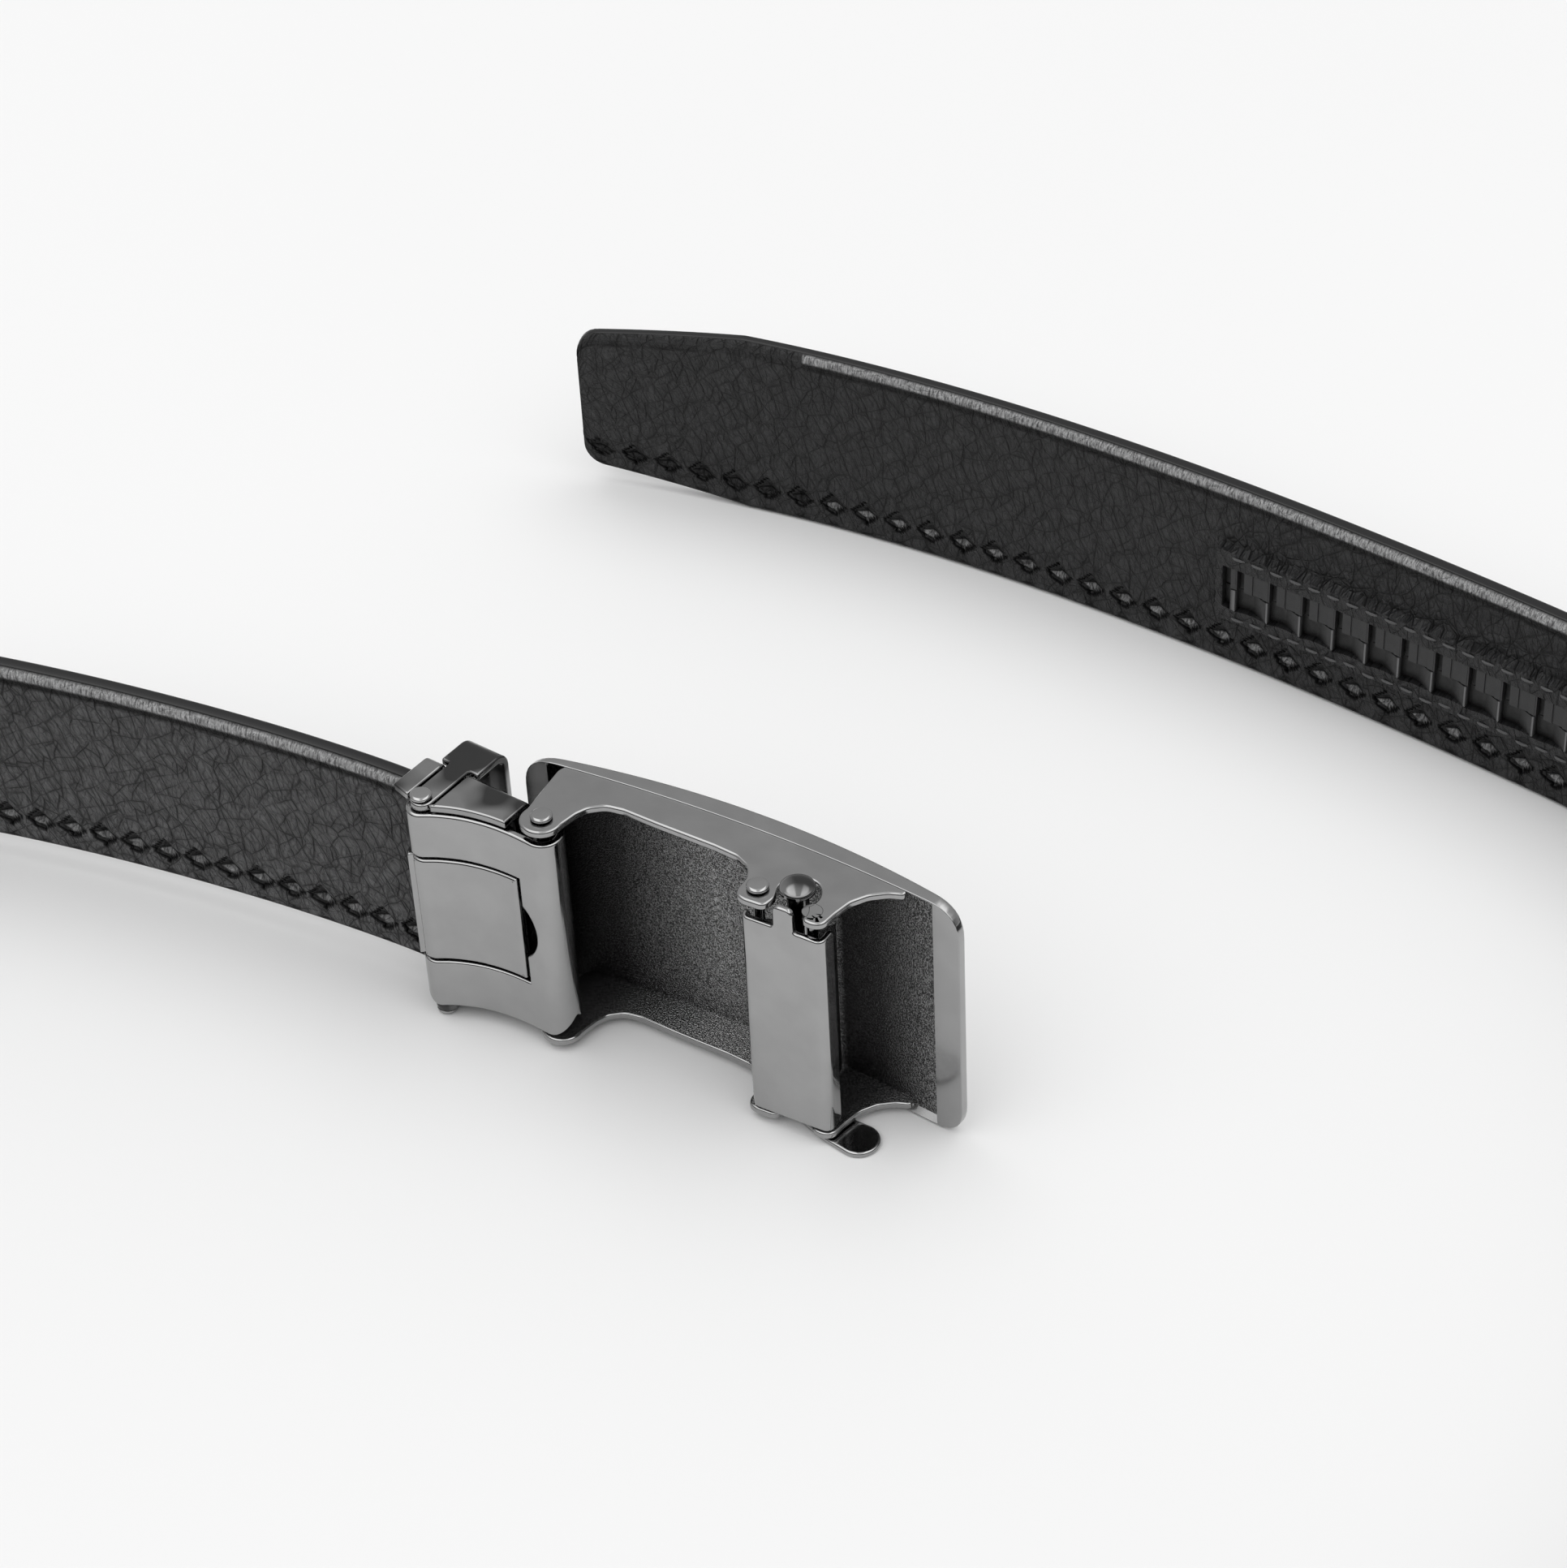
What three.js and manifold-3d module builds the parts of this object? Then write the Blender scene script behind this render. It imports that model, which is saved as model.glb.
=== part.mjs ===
// Ratchet belt standing on its lower edge: leather strap, tooth strip and hinged metal buckle.
// Units are millimetres, +Z is up, heights are above the floor the belt stands on.
// +X runs along the buckle from its clamp to its free end, +Y away from the wearer.
import * as THREE from "three";
import Module from "manifold-3d";

const wasm = await Module();
wasm.setup();
const { Manifold, Mesh } = wasm;

// Driving dimensions of the leather.
const STRAP_W = 35;
const STRAP_T = 3.5;
const STRAP_EDGE_R = 1.3;
const SEAM_UP = 5.2;
const SEAM_HALF = 1.5;
const SEAM_DEPTH = 0.6;
const TIP_T = 2.4;
const TIP_W = 27;
const TIP_TAPER = 31;
const TIP_CORNER_R = 3.5;
const THIN_RUN = 110;

// Driving dimensions of the tooth strip.
const TOOTH_PITCH = 6.25;
const TEETH = 38;
const TRACK_FROM_TIP = 123.4;
const TRACK_W = 14;
const TRACK_UP = 9.8;
const TRACK_T = 1.3;
const TRACK_FLOOR = 0.5;
const TRACK_RAIL = 2.4;
const TRACK_LEAD = 3.1;
const TRACK_SEAT = 0.15;
const TRACK_EDGE = 0.5;
const TRACK_BITE = 0.3;

// Shared fits of the metal parts.
const GAP = 0.25;
const SHEET = 1.2;
const STAND = 4.5;
const FLOOR_GAP = 0.3;
const MID = STAND + STRAP_W / 2;
const PIN_R = 1.0;
const HEAD_R = 1.65;
const HEAD_T = 0.6;
const CIRCLE = 20;

// Clamp.
const ROOM_ABOVE = 1.1;
const ROOM_BELOW = 0.5;
const CLAMP_TOP = MID + STRAP_W / 2 + ROOM_ABOVE + SHEET;
const CLAMP_BOT = MID - STRAP_W / 2 - ROOM_BELOW - SHEET;
const CLAMP_L = -3.8;
const CLAMP_R = 15.5;
const CLAMP_BEND_R = 1.1;
const STRAP_START = 13.5;
const STRAP_INNER_Y = 5.2;
const STRAP_ROOM = 0.3;
const WALL_Y = STRAP_INNER_Y + STRAP_T + STRAP_ROOM;
const PIN_X = 1.7;
const PIN_Y = 2.0;
const BEND_R = 2.5;
const WINDOW_R = 17.4;
const FLAP_R = WINDOW_R - 0.6;
const WINDOW_H = 20.4;
const NOTCH_R = 6.6;
const NOTCH_DEEP = 2.3;
const NECK_W = 3.8;
const KEEPER_W = 7.0;
const KEEPER_X = 1.85;
const KEEPER_STEP = WALL_Y + SHEET + GAP;
const KEEPER_DEEP = 6.95;
const KEEPER_FAR = KEEPER_STEP + KEEPER_DEEP;
const KEEPER_BEND_R = 2.4;
const CAM_R = 2.85;
const LIP_OVER = 0.45;

// Plate and its cross bar.
const HINGE_X = 20.4;
const HINGE_Y = 6.9;
const KNUCKLE_R = 3.1;
const EAR_R = 3.3;
const PLATE_MARGIN = 4;
const PLATE_H = STRAP_W + 2 * PLATE_MARGIN;
const PLATE_L = 9.2;
const PLATE_R = 82.2;
const PLATE_CORNER_R = 4.6;
const PLATE_NEAR_Y = 16.1;
const PLATE_BOW = 8.1;
const PLATE_SKIN = 1.1;
const PLATE_EDGE = 0.5;
const RIM_LEFT = 3.8;
const RIM_RIGHT = 4.6;
const FLANGE_DROP = 0.2;
const FLANGE_RAISE = 1.0;
const RIM_RECESS = 0.8;
const BAR_X = 54.1;
const BAR_Y = 8.8;
const BAR_LEN = 13.4;
const BAR_TURN = 6.5;
const BAR_DEPTH = 3.6;
const BAR_CORNER_R = 1.3;
const BAR_DOWN = 2.2;
const BAR_LUG_AT = 4.5;
const BAR_LUG_W = 2.8;
const BAR_LUG_UP = 1.6;
const BAR_PIN_X = 55.4;
const BAR_PIN_Y = 11.9;
const BAR_PIN_R = 0.85;
const BAR_SHEET = 0.95;
const BAR_PIN2_X = 64.6;
const BAR_PIN2_Y = 12.2;
const ROD_X = 60.5;
const ROD_Y = 14.4;
const ROD_R = 1.6;
const ROD_FOOT_R = 1.1;
const ROD_NOTCH_R = 3.1;
const PAWL_L = 9.1;
const PAWL_HALF_H = 14;
const LEVER_L = 9.7;
const LEVER_END_R = 3.2;
const LEVER_HUB_R = 2.3;
const DOME_R = 2.65;
const DOME_H = 1.65;
const LEVER_T = 1.0;

const BOTTOM = FLOOR_GAP;
const TOP = BOTTOM + PLATE_H;
const FLANGE_TOP = TOP - FLANGE_DROP;
const FLANGE_BOT = BOTTOM + FLANGE_RAISE;

// The strap runs out of the clamp to the left, round the loop and back to the tip.
// Each run is an arc: share is of the strap's length, turn is in degrees to the left.
const STRAP_LEN = 1158.7;
const RUNS = [
  { part: "in the clamp", share: 0.012514, turn: 0 },
  { part: "mouth of the clamp", share: 0.007767, turn: 6.44 },
  { part: "buckle end", share: 0.018987, turn: 3.75 },
  { part: "buckle end", share: 0.020713, turn: 3.11 },
  { part: "buckle end", share: 0.020713, turn: 3.58 },
  { part: "first turn", share: 0.106326, turn: 72.18 },
  { part: "first turn", share: 0.121516, turn: 74.26 },
  { part: "near stretch", share: 0.151894, turn: 45.69 },
  { part: "near stretch", share: 0.151894, turn: 35.54 },
  { part: "second turn", share: 0.121516, turn: 54.4 },
  { part: "second turn", share: 0.106326, turn: 56.31 },
  { part: "tail", share: 0.038837, turn: 2.89 },
  { part: "tail", share: 0.038837, turn: 4.32 },
  { part: "tail", share: 0.038837, turn: 6.66 },
  { part: "tail", share: 0.043323, turn: 11.3 },
];
const LIFT_HOLD = 110;
const LIFT_END = 460;
const STEP_MAX = 14;
const TURN_MAX = 4.5;

// Position and heading of the strap's middle line at distance s from its clamped end.
function along(s) {
  const p = new THREE.Vector2(STRAP_START, STRAP_INNER_Y + STRAP_T / 2);
  let heading = Math.PI;
  let left = s;
  for (const run of RUNS) {
    const length = run.share * STRAP_LEN;
    const part = Math.min(left, length);
    const bend = THREE.MathUtils.degToRad(run.turn) / length;
    const turned = bend * part;
    const chord = bend === 0 ? part : (2 * Math.sin(turned / 2)) / bend;
    p.x += chord * Math.cos(heading + turned / 2);
    p.y += chord * Math.sin(heading + turned / 2);
    heading += turned;
    left -= part;
    if (left <= 0) break;
  }
  return { x: p.x, y: p.y, heading };
}

// Stations along the strap between two distances, closer where it bends more.
function stations(from, to, extra = []) {
  const out = [];
  let start = 0;
  for (const run of RUNS) {
    const length = run.share * STRAP_LEN;
    const a = Math.max(from, start);
    const b = Math.min(to, start + length);
    if (b > a) {
      const turn = (Math.abs(run.turn) * (b - a)) / length;
      const n = Math.max(1, Math.ceil((b - a) / STEP_MAX), Math.ceil(turn / TURN_MAX));
      for (let i = 0; i < n; i++) out.push(a + ((b - a) * i) / n);
    }
    start += length;
  }
  out.push(to);
  for (const s of extra) out.push(s);
  out.sort((a, b) => a - b);
  return out.filter((s, i) => i === 0 || s - out[i - 1] > 0.05);
}

function lift(s) {
  const t = THREE.MathUtils.smoothstep(s, LIFT_HOLD, LIFT_END);
  return STAND * (1 - t);
}

// Bends a straight body, with s along x, thickness along y and height along z.
function bend(geometry, shape = (s, y, z) => [y, z]) {
  const pos = geometry.attributes.position;
  for (let i = 0; i < pos.count; i++) {
    const s = pos.getX(i);
    const [y, z] = shape(s, pos.getY(i), pos.getZ(i));
    const at = along(s);
    const nx = -Math.sin(at.heading);
    const ny = Math.cos(at.heading);
    pos.setXYZ(i, at.x + y * nx, at.y + y * ny, z + lift(s));
  }
  return geometry;
}

// Sweeps a section, given as height and thickness, through the stations of a straight strip.
function strip(section, at) {
  const shape = new THREE.Shape(section.map(([z, y]) => new THREE.Vector2(z, -y)));
  const n = at.length - 1;
  const g = new THREE.ExtrudeGeometry(shape, { depth: n, steps: n, bevelEnabled: false });
  const pos = g.attributes.position;
  for (let i = 0; i < pos.count; i++) {
    const s = at[Math.round(pos.getZ(i))];
    pos.setXYZ(i, s, -pos.getY(i), pos.getX(i));
  }
  return g;
}

function toSolid(geometry) {
  const g = geometry.index ? geometry.toNonIndexed() : geometry;
  const mesh = new Mesh({
    numProp: 3,
    vertProperties: new Float32Array(g.attributes.position.array),
    triVerts: new Uint32Array(g.attributes.position.count).map((_, i) => i),
  });
  mesh.merge();
  return new Manifold(mesh);
}

function toGeometry(solid) {
  const mesh = solid.getMesh();
  const g = new THREE.BufferGeometry();
  const flat = new Float32Array(mesh.numVert * 3);
  for (let i = 0; i < mesh.numVert; i++) {
    for (let k = 0; k < 3; k++) flat[i * 3 + k] = mesh.vertProperties[i * mesh.numProp + k];
  }
  g.setAttribute("position", new THREE.BufferAttribute(flat, 3));
  g.setIndex(new THREE.BufferAttribute(new Uint32Array(mesh.triVerts), 1));
  g.computeVertexNormals();
  return g;
}

// Plan outline extruded between two heights.
function plan(points, z0, z1) {
  const shape = new THREE.Shape(points.map(([x, y]) => new THREE.Vector2(x, y)));
  const g = new THREE.ExtrudeGeometry(shape, { depth: z1 - z0, bevelEnabled: false });
  g.translate(0, 0, z0);
  return toSolid(g);
}

// Outline in the x-z plane extruded between two depths.
function front(shape, y0, y1, segments = 8) {
  const options = { depth: y1 - y0, bevelEnabled: false, curveSegments: segments };
  const g = new THREE.ExtrudeGeometry(shape, options);
  g.rotateX(Math.PI / 2);
  g.translate(0, y1, 0);
  return toSolid(g);
}

function post(x, y, r, z0, z1, sides = CIRCLE) {
  const g = new THREE.CylinderGeometry(r, r, z1 - z0, sides);
  g.rotateX(Math.PI / 2);
  g.translate(x, y, (z0 + z1) / 2);
  return toSolid(g);
}

function arc(cx, cy, r, from, to, n) {
  const out = [];
  for (let i = 0; i <= n; i++) {
    const a = THREE.MathUtils.degToRad(from + ((to - from) * i) / n);
    out.push([cx + r * Math.cos(a), cy + r * Math.sin(a)]);
  }
  return out;
}

function roundedRect(x0, z0, x1, z1, r) {
  const s = new THREE.Shape();
  s.moveTo(x0 + r, z0);
  s.lineTo(x1 - r, z0);
  s.absarc(x1 - r, z0 + r, r, -Math.PI / 2, 0, false);
  s.lineTo(x1, z1 - r);
  s.absarc(x1 - r, z1 - r, r, 0, Math.PI / 2, false);
  s.lineTo(x0 + r, z1);
  s.absarc(x0 + r, z1 - r, r, Math.PI / 2, Math.PI, false);
  s.lineTo(x0, z0 + r);
  s.absarc(x0 + r, z0 + r, r, Math.PI, 1.5 * Math.PI, false);
  return s;
}

// Offsets an open line of plan points to its left.
function beside(points, d) {
  return points.map((p, i) => {
    const a = points[Math.max(0, i - 1)];
    const b = points[Math.min(points.length - 1, i + 1)];
    const l = Math.hypot(b[0] - a[0], b[1] - a[1]);
    return [p[0] - (d * (b[1] - a[1])) / l, p[1] + (d * (b[0] - a[0])) / l];
  });
}

// A rivet: shank with a low domed head at each end, turned on the vertical axis.
function rivet(x, y, r, headR, headT, z0, z1) {
  const profile = [
    [0, z0],
    [headR * 0.72, z0],
    [headR, z0 + headT * 0.45],
    [headR, z0 + headT],
    [r, z0 + headT],
    [r, z1 - headT],
    [headR, z1 - headT],
    [headR, z1 - headT * 0.45],
    [headR * 0.72, z1],
    [0, z1],
  ];
  return turned(x, y, profile);
}

function turned(x, y, profile) {
  const g = new THREE.LatheGeometry(profile.map(([a, b]) => new THREE.Vector2(a, b)), CIRCLE);
  g.rotateX(Math.PI / 2);
  g.translate(x, y, 0);
  return toSolid(g);
}

// Section: leather strap
function strapSection() {
  const h = STRAP_T / 2;
  const r = STRAP_EDGE_R;
  const out = [];
  out.push(...arc(r, -h + r, r, 180, 270, 3));
  out.push(...arc(STRAP_W - r, -h + r, r, 270, 360, 3));
  out.push(...arc(STRAP_W - r, h - r, r, 0, 90, 3));
  out.push([SEAM_UP + SEAM_HALF, h]);
  out.push([SEAM_UP, h - SEAM_DEPTH]);
  out.push([SEAM_UP - SEAM_HALF, h]);
  out.push(...arc(r, h - r, r, 90, 180, 3));
  return out;
}

function tipHalf(s) {
  const d = STRAP_LEN - s;
  const narrow = 1 - THREE.MathUtils.clamp(d / TIP_TAPER, 0, 1);
  let half = STRAP_W / 2 - ((STRAP_W - TIP_W) / 2) * narrow;
  if (d < TIP_CORNER_R) {
    const k = TIP_CORNER_R - d;
    half -= TIP_CORNER_R - Math.sqrt(Math.max(0, TIP_CORNER_R ** 2 - k ** 2));
  }
  return half;
}

function strapShape(s, y, z) {
  const d = STRAP_LEN - s;
  const thin = TIP_T + (STRAP_T - TIP_T) * THREE.MathUtils.clamp(d / THIN_RUN, 0, 1);
  const mid = STRAP_W / 2;
  return [(y * thin) / STRAP_T, mid + ((z - mid) * tipHalf(s)) / mid];
}

const TIP_STEPS = [0.07, 0.29, 0.6, 1];
const tipRuns = [...TIP_STEPS.map((share) => share * TIP_CORNER_R), TIP_TAPER];
const tipStations = tipRuns.map((run) => STRAP_LEN - run);
const strapStations = stations(0, STRAP_LEN, tipStations);
const strap = toSolid(bend(strip(strapSection(), strapStations), strapShape));

// Section: tooth strip on the inner face of the tail
const innerAt = (s) => strapShape(s, STRAP_T / 2, 0)[0] + TRACK_SEAT;
const trackLen = TEETH * TOOTH_PITCH + 2 * TRACK_LEAD;
const trackFrom = STRAP_LEN - TRACK_FROM_TIP - trackLen;
const trackTo = STRAP_LEN - TRACK_FROM_TIP;

function onTrack(s, y, z) {
  return [innerAt(s) + y, TRACK_UP + z];
}

function trackBase() {
  const section = [
    [0, 0],
    [TRACK_W, 0],
    [TRACK_W, TRACK_T * 0.7],
    [TRACK_W - TRACK_EDGE, TRACK_T],
    [TRACK_W - TRACK_RAIL, TRACK_T],
    [TRACK_W - TRACK_RAIL, TRACK_FLOOR],
    [TRACK_RAIL, TRACK_FLOOR],
    [TRACK_RAIL, TRACK_T],
    [TRACK_EDGE, TRACK_T],
    [0, TRACK_T * 0.7],
  ];
  return toSolid(bend(strip(section.reverse(), stations(trackFrom, trackTo)), onTrack));
}

// A block of the strip, from its outline along the belt, between two heights.
function trackBlock(outline, z0, z1) {
  const shape = new THREE.Shape(outline.map(([s, y]) => new THREE.Vector2(s, y)));
  const g = new THREE.ExtrudeGeometry(shape, { depth: z1 - z0, bevelEnabled: false });
  g.translate(0, 0, z0);
  return toSolid(bend(g, onTrack));
}

function trackTeeth() {
  const low = TRACK_FLOOR - TRACK_BITE;
  const bar = TRACK_W / 2;
  const out = [];
  for (let i = 0; i < TEETH; i++) {
    const s = trackTo - TRACK_LEAD - (i + 0.55) * TOOTH_PITCH;
    const ramp = [
      [s - TOOTH_PITCH * 0.3, low],
      [s + TOOTH_PITCH * 0.3, low],
      [s + TOOTH_PITCH * 0.12, TRACK_T],
      [s - TOOTH_PITCH * 0.3, TRACK_T],
    ];
    const wall = [
      [s - TOOTH_PITCH * 0.3, low],
      [s - TOOTH_PITCH * 0.12, low],
      [s - TOOTH_PITCH * 0.12, TRACK_T],
      [s - TOOTH_PITCH * 0.3, TRACK_T],
    ];
    out.push(trackBlock(ramp, bar + TRACK_BITE, TRACK_W - TRACK_RAIL + TRACK_BITE));
    out.push(trackBlock(wall, TRACK_RAIL - TRACK_BITE, bar - TRACK_BITE));
  }
  const lead = [
    [trackTo - TRACK_LEAD, low],
    [trackTo, low],
    [trackTo, TRACK_T],
    [trackTo - TRACK_LEAD, TRACK_T],
  ];
  const tail = lead.map(([s, y]) => [s - trackLen + TRACK_LEAD, y]);
  out.push(trackBlock(lead, TRACK_BITE, TRACK_W - TRACK_BITE));
  out.push(trackBlock(tail, TRACK_BITE, TRACK_W - TRACK_BITE));
  return out;
}

const track = Manifold.union([trackBase(), ...trackTeeth()]);

// Section: clamp, in buckle coordinates: x along the belt, y away from the wearer
// The cover's swell: shares of the way from the left bend to the knuckle.
const SWELL = [
  { along: 0.1765, rise: 0.3837 },
  { along: 0.3583, rise: 0.7209 },
  { along: 0.5615, rise: 0.9302 },
  { along: 0.7647, rise: 1.0116 },
];
const KNUCKLE_Y = HINGE_Y - KNUCKLE_R;
const BEND_Y = PIN_Y - BEND_R;

// Outer face of the cover, from the left bend to the knuckle round the hinge pin.
function coverFace(from = 200) {
  const bend = arc(PIN_X, PIN_Y, BEND_R, from, 292, 5);
  const swell = new THREE.SplineCurve([
    new THREE.Vector2(...bend[bend.length - 1]),
    ...SWELL.map(({ along: share, rise }) => new THREE.Vector2(
      PIN_X + share * (HINGE_X - PIN_X),
      BEND_Y + rise * (KNUCKLE_Y - BEND_Y),
    )),
    new THREE.Vector2(HINGE_X, KNUCKLE_Y),
  ]);
  const body = swell.getPoints(11).slice(1, -1).map((v) => [v.x, v.y]);
  return [...bend, ...body];
}

function coverBody() {
  const outer = [...coverFace(180), ...arc(HINGE_X, HINGE_Y, KNUCKLE_R, 270, 480, 12)];
  const inner = beside(outer, SHEET).reverse();
  const z0 = CLAMP_BOT;
  const z1 = CLAMP_TOP - SHEET - GAP;
  let body = plan([...outer, ...inner], z0, z1);
  const edge = roundedRect(PIN_X - BEND_R - 0.01, z0, HINGE_X + KNUCKLE_R + 0.01, z1, 3.4);
  const top = new THREE.Shape();
  const mid = (z0 + z1) / 2;
  top.moveTo(PIN_X - BEND_R - 1, mid);
  top.lineTo(HINGE_X + KNUCKLE_R + 1, mid);
  top.lineTo(HINGE_X + KNUCKLE_R + 1, z1 + 1);
  top.lineTo(PIN_X - BEND_R - 1, z1 + 1);
  body = body.intersect(front(edge, -2, 14).add(front(top, -2, 14)));
  const window = new THREE.Shape();
  window.moveTo(PIN_X - BEND_R - 2, MID - WINDOW_H / 2);
  window.lineTo(WINDOW_R, MID - WINDOW_H / 2);
  window.lineTo(WINDOW_R, MID + WINDOW_H / 2);
  window.lineTo(PIN_X - BEND_R - 2, MID + WINDOW_H / 2);
  body = body.subtract(front(window, -2, KNUCKLE_Y + SHEET + 0.7));
  const notch = new THREE.Shape();
  notch.absarc(WINDOW_R + NOTCH_DEEP - NOTCH_R, MID, NOTCH_R, -Math.PI / 2, Math.PI / 2, false);
  return body.subtract(front(notch, -2, KNUCKLE_Y + SHEET + 0.7, 12));
}

function flapBody() {
  const outer = coverFace(180).filter(([x]) => x < FLAP_R - 0.8);
  outer.push([FLAP_R, KNUCKLE_Y + 0.08]);
  const inner = beside(outer, SHEET).filter(([x, y]) => x > PIN_X + BEND_R + 0.1 && y > PIN_Y - 0.8 * BEND_R);
  const barrel = arc(PIN_X, PIN_Y, CAM_R, 60, 172, 8);
  const z0 = MID - WINDOW_H / 2 + GAP;
  const z1 = MID + WINDOW_H / 2 - GAP;
  const body = plan([...outer, ...inner.reverse(), ...barrel], z0, z1);
  return body.subtract(post(PIN_X, PIN_Y, PIN_R + GAP, z0 - 1, z1 + 1));
}

function channelBody() {
  const near = coverFace(230);
  const slotR = KEEPER_X + NECK_W / 2 + GAP;
  const lip = beside(near, LIP_OVER).filter(([x]) => x > slotR && x < CLAMP_R);
  const slotL = KEEPER_X - NECK_W / 2 - GAP;
  const far = WALL_Y + SHEET;
  const z1 = CLAMP_TOP;
  const wall = [
    [CLAMP_L, WALL_Y],
    [CLAMP_R, WALL_Y],
    [CLAMP_R, far],
    [CLAMP_L, far],
  ];
  const first = lip[0];
  const last = lip[lip.length - 1];
  const topRight = [
    [slotR, first[1] - (first[0] - slotR) * 0.4],
    ...lip,
    [CLAMP_R, last[1] + 0.05],
    [CLAMP_R, far],
    [slotR, far],
  ];
  const topLeft = [
    [CLAMP_L + 1.9, PIN_Y + 0.3],
    [slotL, PIN_Y - 0.5],
    [slotL, far],
    [CLAMP_L, far],
  ];
  const seatL = PIN_X + BEND_R + 0.8;
  const seat = beside(near, SHEET + GAP).filter(([x]) => x > seatL && x < CLAMP_R);
  const low = [
    [CLAMP_L + 0.6, WALL_Y - 3],
    ...seat,
    [CLAMP_R, seat[seat.length - 1][1]],
    [CLAMP_R, far],
    [CLAMP_L, far],
  ];
  let body = Manifold.union([
    plan(wall, CLAMP_BOT, z1 - 0.1),
    plan(topRight, z1 - SHEET, z1),
    plan(topLeft, z1 - SHEET, z1),
    plan(low, CLAMP_BOT, CLAMP_BOT + SHEET),
  ]);
  const slot = [
    [slotL, PIN_Y - 6],
    [slotR, PIN_Y - 6],
    [slotR, far + 1],
    [slotL, far + 1],
  ];
  body = body.subtract(plan(slot, z1 - SHEET - GAP, z1 + 1));
  body = body.subtract(plan(slot, CLAMP_BOT - 1, CLAMP_BOT + GAP));
  const shape = new THREE.Shape();
  const r = CLAMP_BEND_R;
  shape.moveTo(PIN_Y - 6, CLAMP_BOT - 1);
  shape.lineTo(far - r, CLAMP_BOT - 1);
  shape.lineTo(far - r, CLAMP_BOT);
  shape.absarc(far - r, CLAMP_BOT + r, r, -Math.PI / 2, 0, false);
  shape.absarc(far - r, z1 - r, r, 0, Math.PI / 2, false);
  shape.lineTo(far - r, z1 + 1);
  shape.lineTo(PIN_Y - 6, z1 + 1);
  const depth = CLAMP_R - CLAMP_L + 2;
  const g = new THREE.ExtrudeGeometry(shape, { depth, bevelEnabled: false, curveSegments: 4 });
  g.rotateX(Math.PI / 2);
  g.rotateZ(Math.PI / 2);
  g.translate(CLAMP_L - 1, 0, 0);
  return body.intersect(toSolid(g));
}

// Keeper: a band behind the clamp on two T-shaped arms that the clamp pin holds.
function keeperBody() {
  const z1 = CLAMP_TOP;
  const z0 = CLAMP_BOT - 2 * GAP - SHEET;
  const x0 = KEEPER_X - KEEPER_W / 2;
  const r = KEEPER_BEND_R;
  const ring = new THREE.Shape();
  ring.moveTo(KEEPER_STEP, z0);
  ring.lineTo(KEEPER_FAR - r, z0);
  ring.absarc(KEEPER_FAR - r, z0 + r, r, -Math.PI / 2, 0, false);
  ring.absarc(KEEPER_FAR - r, z1 - r, r, 0, Math.PI / 2, false);
  ring.lineTo(KEEPER_STEP, z1);
  ring.lineTo(KEEPER_STEP, z1 - SHEET);
  const ri = r - SHEET;
  ring.absarc(KEEPER_FAR - r, z1 - r, ri, Math.PI / 2, 0, true);
  ring.absarc(KEEPER_FAR - r, z0 + r, ri, 0, -Math.PI / 2, true);
  ring.lineTo(KEEPER_STEP, z0 + SHEET);
  const options = { depth: KEEPER_W, bevelEnabled: false, curveSegments: 6 };
  const g = new THREE.ExtrudeGeometry(ring, options);
  g.rotateX(Math.PI / 2);
  g.rotateZ(Math.PI / 2);
  g.translate(x0, 0, 0);
  const half = NECK_W / 2;
  const neck = [
    [KEEPER_X + half, KEEPER_STEP + 0.5],
    [KEEPER_X - half, KEEPER_STEP + 0.5],
    ...arc(KEEPER_X, PIN_Y + 0.1, half, 180, 360, 8),
  ];
  const body = Manifold.union([
    toSolid(g),
    plan(neck, z1 - SHEET, z1),
    plan(neck, z0, z0 + SHEET),
  ]);
  return body.subtract(post(PIN_X, PIN_Y, PIN_R + GAP, z0 - 1, z1 + 1));
}

const clampPin = rivet(
  PIN_X,
  PIN_Y,
  PIN_R,
  HEAD_R,
  HEAD_T,
  CLAMP_BOT - 3 * GAP - SHEET - HEAD_T,
  CLAMP_TOP + GAP + HEAD_T,
);

// Section: plate with its flanges
// Handles of the plate's two faces: shares of its length and of its bow.
const FACES = [
  { along: 0, inner: 0, outer: 0.1358 },
  { along: 0.4933, inner: 1, outer: 1.6667 },
  { along: 1, inner: 0.7778, outer: 0.9753 },
];

function plateFace(side) {
  const points = FACES.map((handle) => new THREE.Vector2(
    PLATE_L - 1 + handle.along * (PLATE_R - PLATE_L + 2),
    PLATE_NEAR_Y + handle[side] * PLATE_BOW,
  ));
  return new THREE.QuadraticBezierCurve(...points);
}

const plateInner = plateFace("inner");
const plateOuter = plateFace("outer");
const asPairs = (curve, n) => curve.getPoints(n).map((v) => [v.x, v.y]);

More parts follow.
